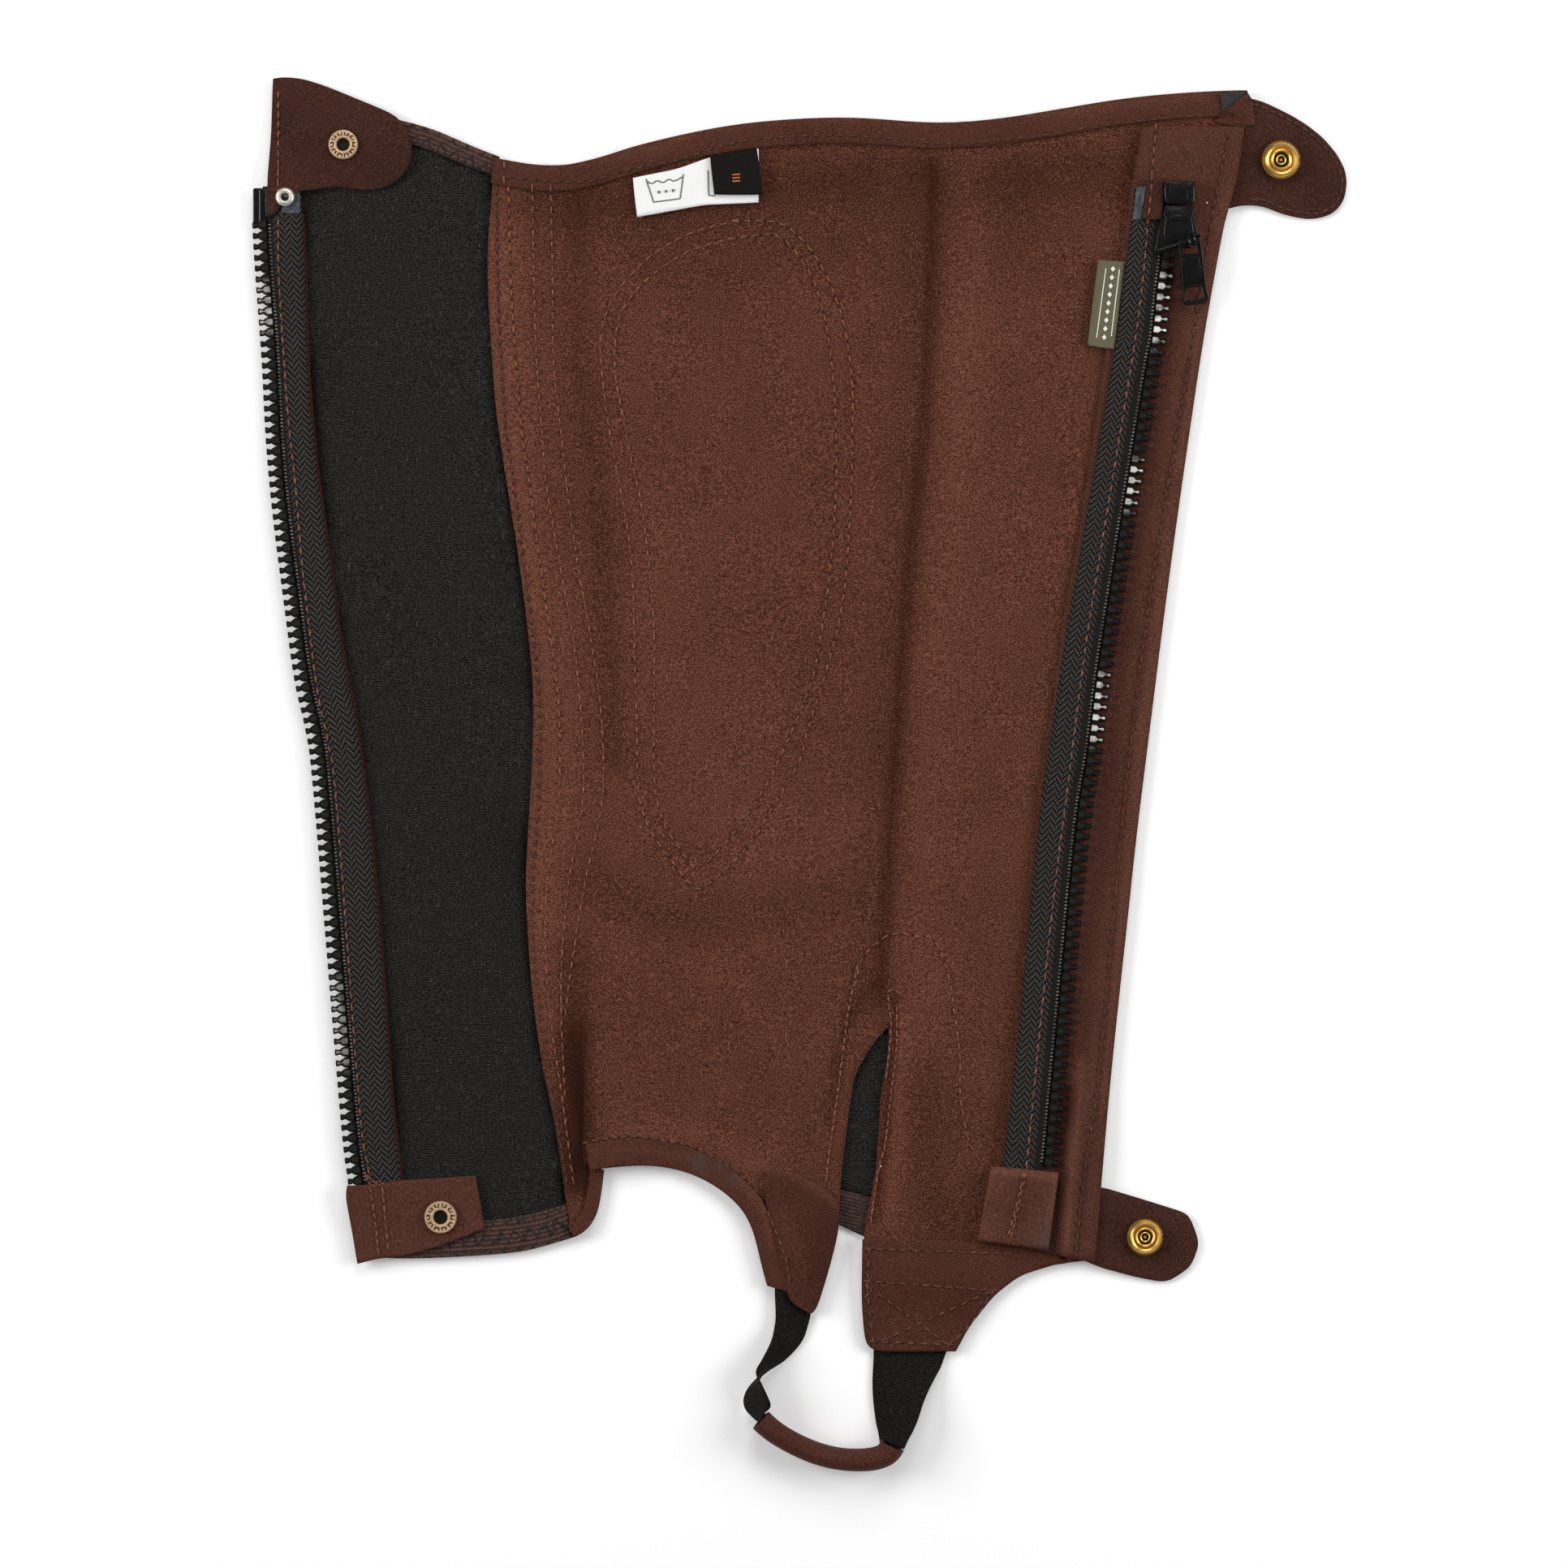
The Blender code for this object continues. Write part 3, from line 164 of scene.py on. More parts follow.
def suedePaint(name, shades, fuzz=1.0):
    paint = Paint(name, 0.95, specular=0.05)
    paint.fix({"Sheen Weight": 0.07, "Sheen Roughness": 0.5, "Sheen Tint": (0.75, 0.5, 0.4, 1)})
    dark, mid, light = map(screenColour, shades)
    broad = paint.speckle(34, 3, 0.55, 3)
    fleck = paint.speckle(1.5, 4, 0.8, 7)
    grain = paint.speckle(0.55, 2, 0.6, 11)
    # paintedShading: painted shade and highlight, darker and lighter bands along folds, grooves and edges,
    # added to the colour
    paintedShading = paint.node("ShaderNodeAttribute", {"attribute_name": "paintedShading"}, output="Fac")
    smudge = paint.node("ShaderNodeAttribute", {"attribute_name": "smudge"}, output="Fac")
    shade = 0.5 + (fleck - 0.5) * (0.7 * fuzz) + (grain - 0.5) * (3.0 * fuzz)
    shade = shade + (broad - 0.5) * 0.25 + paintedShading * 0.6
    cloth = paint.mix(paint.limit(shade, 0.5, 1.0), paint.mix(paint.limit(shade, 0.0, 0.5), dark, mid), light)
    paint.colour(paint.mix(smudge * paint.limit(fleck + 0.1, 0.3, 0.7), cloth, screenColour((74, 70, 66))))
    paint.relief(fleck * 0.6 + grain * 0.4, 0.35, 0.6 * fuzz)
    return paint.material


def stretchPaint(name, rowPitch, loopPitch, shades):
    paint = Paint(name, 0.8, specular=0.06)
    u, v = paint.uv()
    rows = v + (paint.speckle(16, 2, 0.5, 2) - 0.5) * 2.2
    ribs = paint.wave(rows, rowPitch)
    shift = paint.sum("MODULO", paint.sum("FLOOR", rows / rowPitch + farOff), 2.0) * (loopPitch / 2)
    loops = paint.wave(u + shift, loopPitch)
    slub = paint.speckle(0.8, 3, 0.7, 5, (1, 1.3, 1))
    dash = paint.limit(paint.speckle(1.5, 1, 0.5, 13, (3.4, 0.42, 1)), 0.66, 0.74)
    weave = ribs * 0.12 + loops * ribs * 0.28 + (slub - 0.5) * 1.9 + dash * 0.6 + 0.08
    paint.colour(paint.mix(paint.limit(weave, 0.0, 0.95), *map(screenColour, shades)))
    paint.relief(ribs * 0.6 + loops * 0.3 + slub * 0.6, 0.3, 0.8)
    return paint.material


def tapePaint(name, chevronWidth, twillPitch, shades):
    paint = Paint(name, 0.7, specular=0.08)
    u, v = paint.uv()
    zig = paint.sum("PINGPONG", u + 100 * chevronWidth, chevronWidth)
    ribs = (v + zig * 1.2) / twillPitch
    pickPitch = twillPitch * 0.85
    picks = paint.wave(u + paint.sum("FLOOR", ribs + 0.25) * (pickPitch / 2), pickPitch)
    slub = paint.speckle(0.6, 2, 0.7, 4)
    body = paint.limit(u, 3.1, 3.6)  # the strip beside the teeth is plain
    twill = paint.wave(ribs, 1) * picks * body
    weave = twill * (0.05 + slub * 1.9) + (1 - body) * 0.16
    paint.colour(paint.mix(paint.limit(weave, 0.12, 0.85), *map(screenColour, shades)))
    paint.relief(twill + slub * 0.3, 0.3, 0.8)
    return paint.material


def ribbedPaint(name, ribPitch, zigPitch, zigWidth, brown, black):
    paint = Paint(name, 0.85)
    u, v = paint.uv()
    wander = paint.speckle(3.5, 2, 0.6, 21)
    ribs = paint.wave(u + (wander - 0.5) * 0.8, ribPitch)
    zig = paint.sum("PINGPONG", v + farOff + (wander - 0.5) * 6.0, zigPitch / 2)
    reach = paint.sum("PINGPONG", u + zig * 1.8 + farOff, 3.6)
    slub = paint.speckle(0.7, 2, 0.7, 9)
    dark = 1 - paint.limit(reach + (slub - 0.5) * 2.4, zigWidth - 0.35, zigWidth + 0.35)
    knots = paint.wave(v, 0.9)
    warm = paint.mix(ribs * 0.6 + knots * 0.15 + (slub - 0.5) * 2.0, *map(screenColour, brown))
    paint.colour(paint.mix(dark, warm, screenColour(black)))
    paint.relief(ribs + knots * 0.3 + slub * 0.4, 0.4, 0.9)
    return paint.material


def plainPaint(name, colour, roughness, metallic=0.0, specular=0.5, wear=0.0, worn=None, size=3.0):
    paint = Paint(name, roughness, metallic, specular)
    spots = paint.speckle(size, 4, 0.65, 6)
    share = paint.limit(spots, 0.42, 0.68) * wear
    paint.colour(paint.mix(share, screenColour(colour), screenColour(worn or colour)))
    paint.put(paint.shader.inputs["Roughness"], roughness + (spots - 0.5) * 0.25)
    paint.relief(spots, 0.08, 0.3)
    return paint.material


# Tooth crowns with painted highlights: within the zones, spots of the black turn near white where light would
# glint
def crownHighlightPaint(name, plain, bright, zones):  # zones: side (1 right, 0 left), low y and high y in mm, share
    paint = Paint(name, 0.25, specular=0.3)
    x, y = (axis / mm for axis in paint.axes(paint.place()))
    right = paint.limit(x, -1.0, 1.0)
    highlightShare = x * 0.0
    for side, low, high, share in zones:
        zone = paint.limit(y, low - 3, low + 3) * (1 - paint.limit(y, high - 3, high + 3))
        highlightShare = highlightShare + zone * (right if side else 1 - right) * share
    spots = paint.limit(paint.speckle(5, 2, 0.6, 6), 0.3, 0.6)
    paint.colour(paint.mix(highlightShare * spots, screenColour(plain), screenColour(bright)))
    return paint.material


def satinPaint(name, pitch, ground, light):  # label cloth with a fine plain weave
    paint = Paint(name, 0.7, specular=0.1)
    x, y = paint.axes(paint.place())
    weave = paint.wave(x + y * 0.1, pitch * mm) * paint.wave(y - x * 0.1, pitch * mm)
    slub = paint.speckle(1.2, 3, 0.6, 8)
    paint.colour(paint.mix(weave * 0.5 + (slub - 0.3) * 0.6, screenColour(ground), screenColour(light)))
    paint.relief(weave, 0.12, 0.5)
    return paint.material


# Colours are red, green and blue as seen on screen; pitches and sizes are in mm
suedes = {
    "suede": dict(name="brushed suede", shades=((50, 26, 18), (83, 48, 36), (122, 77, 60))),
    "trim": dict(name="trim suede", shades=((46, 24, 19), (74, 43, 34), (104, 66, 52)), fuzz=0.6),
    "tongue": dict(name="tab suede", shades=((42, 23, 18), (63, 38, 31), (88, 56, 47)), fuzz=0.8),
    "placket": dict(name="placket suede", shades=((46, 25, 20), (78, 47, 38), (112, 72, 58)), fuzz=0.6),
    "edgeStrip": dict(name="red edge strip", shades=((30, 14, 11), (60, 27, 20), (84, 42, 31)), fuzz=0.8),
}
plains = {
    "moulded": dict(
        name="black moulding", colour=(9, 9, 9), roughness=0.22, specular=0.28, wear=0.4, worn=(18, 17, 16)),
    "teeth": dict(
        name="tooth moulding", colour=(10, 10, 9), roughness=0.3, specular=0.3, wear=0.6, worn=(22, 21, 19)),
    "cord": dict(
        name="tape cord", colour=(92, 90, 86), roughness=0.5, wear=0.7, worn=(160, 157, 150), size=6),
    "film": dict(
        name="grey film", colour=(58, 62, 66), roughness=0.25, wear=0.8, worn=(92, 98, 104), size=2),
    "antiqueBrass": dict(
        name="antique brass", colour=(240, 206, 164), roughness=0.34, metallic=0.5, wear=0.7,
        worn=(164, 130, 94), size=1.2),
    "brightBrass": dict(
        name="bright brass", colour=(226, 182, 96), roughness=0.3, metallic=0.85, wear=0.6,
        worn=(198, 152, 72), size=1.6),
    "silver": dict(
        name="silver rivet", colour=(240, 232, 218), roughness=0.34, metallic=0.8, wear=0.5,
        worn=(176, 166, 150), size=1.4),
    "thread": dict(
        name="tan thread", colour=(96, 54, 34), roughness=0.7, wear=0.9, worn=(156, 96, 62), size=1.6),
    "darkThread": dict(
        name="dark thread", colour=(58, 33, 24), roughness=0.8, wear=0.9, worn=(104, 62, 42), size=1.6),
    "rustThread": dict(
        name="rust thread", colour=(76, 42, 28), roughness=0.8, wear=0.9, worn=(130, 78, 50), size=1.6),
    # Dark lumps between the stitches: painted shade of the needle holes
    "hole": dict(name="needle hole", colour=(40, 21, 15), roughness=0.95),
    "whiteThread": dict(name="white thread", colour=(226, 224, 216), roughness=0.6),
    "print": dict(name="grey print", colour=(96, 96, 96), roughness=0.6),
    "orangeThread": dict(name="orange mark", colour=(196, 104, 40), roughness=0.6),
    "inside": dict(name="grey end cloth", colour=(38, 36, 34), roughness=0.9, wear=0.6, worn=(58, 55, 52)),
}
# Zones of painted highlight on the tooth crowns
toothHighlightZones = [(1, 158, 184, 1), (1, 98, 116, 0.8), (1, 12, 37, 0.9), (0, 164, 180, 0.6), (0, -108, -76, 0.3)]
finishes = {
    "stretch": stretchPaint("stretch knit", 0.83, 0.66, ((11, 10, 9), (72, 71, 67))),
    "strap": stretchPaint("strap elastic", 0.75, 1.6, ((12, 11, 10), (52, 50, 47))),
    "tape": tapePaint("herringbone tape", 2.4, 1.2, ((13, 12, 11), (98, 94, 88))),
    "ribbed": ribbedPaint("ribbed elastic", 1.7, 5.6, 0.95, ((20, 12, 10), (102, 62, 47)), (18, 16, 15)),
    "hem": ribbedPaint("gore hem", 1.3, 6.0, 0.6, ((34, 21, 17), (80, 50, 40)), (22, 18, 16)),
    "crown": crownHighlightPaint("tooth crown painted highlight", (30, 29, 28), (225, 222, 214), toothHighlightZones),
    "whiteLabel": satinPaint("white satin", 0.6, (236, 236, 235), (252, 252, 251)),
    "blackLabel": satinPaint("black label", 0.7, (13, 12, 11), (27, 25, 23)),
    "oliveLabel": satinPaint("olive label", 0.7, (88, 84, 66), (128, 122, 96)),
}
finishes.update({key: suedePaint(**look) for key, look in suedes.items()})
finishes.update({key: plainPaint(**look) for key, look in plains.items()})
print("finishes:", len(finishes))


# Lines and surfaces

def smooth(points, step=1.0):  # a smooth line, in mm, with a point for each step
    p = np.array(points, float)
    if len(p) > 2:
        ends = np.vstack([2 * p[0] - p[1], p, 2 * p[-1] - p[-2]])
        run = []
        for i in range(1, len(ends) - 2):
            a, b, c, d = ends[i - 1:i + 3]
            for t in np.linspace(0, 1, 12, endpoint=False):
                bend = (2 * a - 5 * b + 4 * c - d) * t**2 + (3 * b - a - 3 * c + d) * t**3
                run.append(0.5 * (2 * b + (c - a) * t + bend))
        p = np.array(run + [p[-1]])
    lengths = np.concatenate([[0], np.cumsum(np.linalg.norm(np.diff(p, axis=0), axis=1))])
    places = np.linspace(0, lengths[-1], max(2, int(lengths[-1] / step) + 1))
    return np.stack([np.interp(places, lengths, p[:, k]) for k in range(p.shape[1])], axis=1)


def nearLine(points, line):  # distance to a line in the plane, signed by side, and the run along it
    points, line = np.asarray(points, float)[:, :2], np.asarray(line, float)[:, :2]
    best, side, run = np.full(len(points), 1e9), np.zeros(len(points)), np.zeros(len(points))
    travelled = 0.0
    for a, b in zip(line[:-1], line[1:]):
        way = b - a
        length = np.linalg.norm(way)
        t = np.clip(((points - a) @ way) / length**2, 0, 1)
        away = points - (a + t[:, None] * way)
        distance = np.linalg.norm(away, axis=1)
        closer = distance < best
        best = np.where(closer, distance, best)
        side = np.where(closer, np.sign(way[0] * away[:, 1] - way[1] * away[:, 0]), side)
        run = np.where(closer, travelled + t * length, run)
        travelled += length
    return best * side, run


def bell(value, width):
    return np.exp(-((value / width) ** 2))


def easeStep(value):
    t = np.clip(value, 0, 1)
    return t * t * (3 - 2 * t)


# Soft creases that the whole stack follows. Each row: line, half width, height, in mm
creases = [
    ([(50, 231), (49.5, 182), (46, 125), (41, 76), (37, 16), (33, -44), (31, -80)], 3.2, -1.5),
    ([(60, 230), (60, 182), (57, 125), (52, 76), (47, 16), (44, -44), (44, -84)], 11, 2.6),
    ([(38, 226), (36, 182), (33, 125), (28, 76), (24, 16), (20, -44)], 12, 1.2),
    ([(-84, 190), (-82, 158), (-76, 110), (-73, 60), (-77, 0)], 5, -0.9),
    ([(-100, 200), (-99, 150), (-95, 90), (-86, 40), (-84, 0)], 8, 0.9),
    ([(-72, -46), (-40, -58), (-10, -54), (18, -50)], 9, -0.7),
    ([(-70, -72), (-38, -80), (-8, -78), (10, -76)], 12, 0.9),
    ([(-60, -150), (-50, -118), (-34, -92)], 6, 0.7),
    ([(-30, -138), (-24, -112), (-12, -92)], 6, 0.6),
    ([(-10, -150), (2, -120), (10, -96)], 6, 0.7),
    ([(60, -190), (58, -150), (62, -112), (58, -80)], 7, 0.5),
    ([(100, 200), (92, 140), (88, 80), (80, 20)], 11, 0.5),
    ([(-30, 215), (-34, 190), (-30, 160)], 9, 0.4),
    ([(-52, 120), (-50, 60), (-46, 0)], 14, 0.7),
    ([(97.2, -190), (98.4, -150), (102.5, -106), (106, -76)], 2.2, 1.8),
    ([(32.6, -92), (30.6, -128), (27.2, -164)], 1.1, 0.7),
    ([(-13, -150), (-8.5, -165), (-5.5, -178), (-4, -192)], 1.7, 1.1),
    ([(-18, -147), (-13.5, -160), (-10.5, -172)], 1.4, 0.7),
    ([(10, -172), (4, -184), (-2, -192)], 1.6, 0.4),
]
creaseLines = [(smooth(line, 4), width, height) for line, width, height in creases]
swells = [(46, 60, 3.1, 0.5), (13, 17, 9.4, 0.2)]  # size along x and y, place in the noise, height
gather = dict(x=58, halfWidth=9, low=226, fade=10, height=0.45, ripple=1.4)  # below the top binding
calmSpots = [(140, 208, 22), (144, 186, 20), (-199, 209, 9), (0, -235, 30)]  # hardware, strap: x, y, radius


def settle(points):  # how far the cloth rises here above the plain solids, never below them
    points = np.asarray(points, float)
    x, y = points[:, 0], points[:, 1]
    rise = np.zeros(len(points))
    for wide, tall, level, height in swells:
        rise += [height * (noise.noise((px / wide, py / tall, level)) + 0.6) for px, py in zip(x, y)]
    for line, width, height in creaseLines:
        away, run = nearLine(points, line)
        spread = np.linalg.norm(line[-1] - line[0])
        fromMiddle = np.hypot(x - (line[0, 0] + line[-1, 0]) / 2, y - (line[0, 1] + line[-1, 1]) / 2)
        rise += height * bell(away, width) * (1 - easeStep((fromMiddle / spread - 0.42) / 0.16))
    pinched = bell(x - gather["x"], gather["halfWidth"]) * easeStep((y - gather["low"]) / gather["fade"])
    rise += gather["height"] * pinched * (1 + np.sin(x * gather["ripple"]))
    for spotX, spotY, radius in calmSpots:
        rise *= easeStep(np.hypot(x - spotX, y - spotY) / radius - 0.6)
    return np.maximum(rise, 0.0)


def vertexSpots(mesh):  # where its vertices are, in metres
    spots = np.empty(len(mesh.vertices) * 3)
    mesh.vertices.foreach_get("co", spots)
    return spots.reshape(-1, 3)


def settleMesh(mesh):
    spots = vertexSpots(mesh)
    spots[:, 2] += settle(spots[:, :2] / mm) * mm
    mesh.vertices.foreach_set("co", spots.ravel())
    mesh.update()


def newObject(name, data):
    made = bpy.data.objects.new(name, data)
    bpy.context.scene.collection.objects.link(made)
    return made


def addPiece(name, mesh, finish, node=None, body="chap"):
    mesh.materials.clear()
    mesh.materials.append(finishes[finish])
    piece = newObject(name, mesh)
    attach(piece, body)
    if node:
        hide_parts(node)
    return piece


def plainMesh(holder):  # the mesh that an object's modifiers give
    bpy.context.view_layer.update()
    mesh = bpy.data.meshes.new_from_object(holder.evaluated_get(bpy.context.evaluated_depsgraph_get()))
    bpy.data.objects.remove(holder)
    return mesh


def shaded(mesh, sharpAngle):
    mesh.shade_smooth()
    mesh.set_sharp_from_angle(angle=math.radians(sharpAngle))
    return mesh


def fromTool(tool, name):
    mesh = bpy.data.meshes.new(name)
    tool.to_mesh(mesh)
    tool.free()
    return mesh


def within(box, spot):  # box: x and x, y and y, in mm; spot in metres
    return box is not None and box[0] < spot.x / mm < box[1] and box[2] < spot.y / mm < box[3]


def softened(node, levels, crease, softBox=None, spread=0.0):  # a solid's rounded copy, its triangles paired
    tool = bmesh.new()
    tool.from_mesh(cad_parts[node].data)
    bmesh.ops.remove_doubles(tool, verts=tool.verts[:], dist=0.00001)
    bmesh.ops.join_triangles(
        tool, faces=tool.faces[:], angle_face_threshold=0.7, angle_shape_threshold=math.pi
    )
    for vertex in tool.verts:  # the rim grows, so that sewn neighbours meet
        sides = [face.normal for face in vertex.link_faces if abs(face.normal.z) < 0.4]
        if sides and not within(softBox, vertex.co):
            out = sum(sides, Vector())
            out.z = 0
            if out.length > 0.3:
                vertex.co += out.normalized() * spread * mm
    for tuck in tucks:
        if tuck["node"] == node:
            low, high = tuck["box"][2:]
            for vertex in tool.verts:
                if within(tuck["box"], vertex.co):
                    along = (high - vertex.co.y / mm) / (high - low)
                    share = math.sin(math.pi * along) if "eased" in tuck else 1.0
                    vertex.co += Vector(tuck["shift"]) * (mm * share)
                    vertex.co.z = max(vertex.co.z, 0.0)
    layer = tool.edges.layers.float.new("crease_edge")
    for edge in tool.edges:
        if len(edge.link_faces) == 2 and edge.calc_face_angle() > 1.0:
            edge[layer] = 0.0 if within(softBox, (edge.verts[0].co + edge.verts[1].co) / 2) else crease
    holder = newObject("holder", fromTool(tool, node + " cloth"))
    rounding = holder.modifiers.new("Rounding", "SUBSURF")
    rounding.levels = rounding.render_levels = levels
    return shaded(plainMesh(holder), 50)


# Ends that run on under a neighbour. Each: node, box of the end (x, x, y, y), shift, in mm, and whether
# the shift swells and fades along y
tucks = [
    dict(node="stretch_panel", box=(-118, -108, 213.8, 230), shift=(3.4, 0, 0)),
    dict(node="stretch_top_binding", box=(-118, -108, 222.5, 232), shift=(3.2, -0.6, -0.2)),
    dict(node="stretch_top_binding", box=(-121, -108, 214, 222.5), shift=(8.5, -0.1, -0.2)),
    dict(node="stretch_bottom_binding", box=(-95, -80, -180, -155), shift=(8.2, 3.0, -0.2)),
    dict(node="lobe_binding", box=(-80, -70, -156.5, -150), shift=(0.9, 8.6, 0)),
    dict(node="strap_left", box=(-12, 6, -198, -188), shift=(-1.0, 6.5, 0.6)),
    dict(node="strap_right", box=(20, 33, -250, -240), shift=(0.8, -2.5, -1.0)),
    dict(node="strap_right", box=(33, 56, -250, -219), shift=(-2.7, 0, -0.6), eased=True),
    dict(node="strap_right", box=(33, 50, -252, -243.5), shift=(-0.6, -0.8, -1.2)),
    dict(node="instep_binding", box=(-7.6, -3.5, -191, -185.5), shift=(1.8, -4.0, 0)),
    dict(node="instep_binding", box=(-73, -68, -150, -130), shift=(-8.0, -0.6, 0.3)),
    dict(node="tab_top_right", box=(140, 168, 200, 250), shift=(-2.0, 0, -0.2)),
    dict(node="left_tongue", box=(-14, -1.5, -196, -148), shift=(-1.6, 0, 0.2)),
]
bindingKnuckles = [
    (-152, 232.7), (-146.9, 231.3), (-141.9, 229.9), (-137.3, 228.4), (-132.7, 226.4), (-127.8, 224.2),
    (-123, 222.1),
]
tucks += [
    dict(node="stretch_top_binding", box=(x - 1, x + 1, y - 1, y + 1), shift=(1.0, 2.3, 0))
    for x, y in bindingKnuckles
]


def cutSize(node, across=None):  # the flat size and area of a piece of cloth, from its solid
    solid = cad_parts[node].data
    area = sum(face.area for face in solid.polygons) / 2
    if across:
        return (across * mm, area / (across * mm)), None
    spots = np.array([v.co[:2] for v in solid.vertices])
    spots -= spots.mean(axis=0)
    axes = np.linalg.svd(spots, full_matrices=False)[2]
    length, width = np.ptp(spots @ axes.T, axis=0)
    width = max(width, 10.1 * mm)  # a narrow label or patch, with the edge that the seam takes up
    return (width, length), min(area, width * length)


def clothUv(mesh, line=None, tilt=0.0):  # across and along a line, or plain x and y, in mm
    x, y = vertexSpots(mesh)[:, :2].T / mm
    if line is None:
        u, v = x, y + x * tilt
    else:
        u, v = nearLine(np.stack([x, y], axis=1), smooth(line, 3))
        u = np.abs(u)
    corners = np.empty(len(mesh.loops), int)
    mesh.loops.foreach_get("vertex_index", corners)
    layer = mesh.uv_layers.new(name="cloth")
    layer.data.foreach_set("uv", np.stack([u[corners], v[corners]], axis=1).ravel())


# Cloth walls. Each: node, finish, subdivision levels (2), crease of its edges (1) and the box where they
# stay soft, line that its weave follows or how it leans, flat width in mm, and the wall that it hems
leftTapeEdge = [
    (-197.7, 216.5), (-197.4, 201.2), (-196.2, 182), (-194.1, 153.2), (-192.6, 124.7), (-190.2, 97.7),
    (-186, 64.4), (-182.1, 35.6), (-177.9, 16.4), (-174.9, -7.4), (-165.3, -122.9), (-162.3, -149.6),
    (-161.4, -158),
]
rightTapeEdge = [
    (135.9, 215.9), (133.2, 191.3), (131.4, 177.2), (129.6, 159.8), (127.5, 149), (115.2, 73.1),
    (109.5, 36.2), (105.9, 7.1), (101.7, -19.7), (95.4, -85.1), (89.7, -144.8), (88.8, -152.6),
]
stretchTopEdge = [
    (-156, 244.2), (-150, 241.6), (-136.5, 237.8), (-127.5, 234), (-118.5, 230.1), (-110, 226.4),
]
stretchBottomEdge = [
    (-80, -169.6), (-91.5, -173.7), (-100.5, -175.5), (-109.5, -176.7), (-127.5, -177.9), (-145.5, -178.5),
    (-160, -178),
]
hemLine = [(10, -152.4), (33, -158.3)]
walls = {
    "stretchPanel": dict(node="stretch_panel", finish="stretch", tilt=-0.09),
    "ankleGore": dict(node="ankle_gore", finish="stretch"),
    "goreHem": dict(node="gore_hem", finish="hem", levels=3, line=hemLine),
    "stretchTopBinding": dict(
        node="stretch_top_binding", finish="ribbed", levels=3, line=stretchTopEdge, hems="stretchPanel"),
    "stretchBottomBinding": dict(
        node="stretch_bottom_binding", finish="ribbed", levels=3, line=stretchBottomEdge,
        hems="stretchPanel"),
    "calfPanel": dict(node="main_panel", finish="suede", softBox=(-84, -68, -160, -20)),
    "topBinding": dict(node="top_binding", finish="trim", crease=0.7, across=21.0),
    "instepBinding": dict(node="instep_binding", finish="trim", levels=3, crease=0.7, across=15.0),
    "lobeBinding": dict(node="lobe_binding", finish="trim", levels=3, crease=0.7, hems="calfPanel"),
    "leftTongue": dict(node="left_tongue", finish="trim", levels=3),
    "rightTongue": dict(node="right_tongue", finish="trim"),
    "tabTopRight": dict(node="tab_top_right", finish="tongue"),
    "tabBottomRight": dict(node="tab_bottom_right", finish="tongue"),
    "placketBand": dict(node="placket", finish="placket", across=35.0),
    "zipTapeRight": dict(node="zip_tape_right", finish="tape", line=rightTapeEdge, across=15.0),
    "tapeTopPatch": dict(node="tape_top_patch", finish="tongue"),
    "zipEndPatch": dict(node="zip_end_patch", finish="placket"),
    "zipEdgeStrip": dict(node="zip_edge_strip", finish="edgeStrip", hems="stretchPanel"),
    "zipTapeLeft": dict(node="zip_tape_left", finish="tape", line=leftTapeEdge, across=15.0),
    "tabTopLeft": dict(node="tab_top_left", finish="tongue"),
    "tabBottomLeft": dict(node="tab_bottom_left", finish="placket"),
    "careLabel": dict(node="care_label", finish="whiteLabel"),
    "sizeLabel": dict(node="size_label", finish="blackLabel"),
    "sideLabel": dict(node="side_label", finish="oliveLabel"),
}
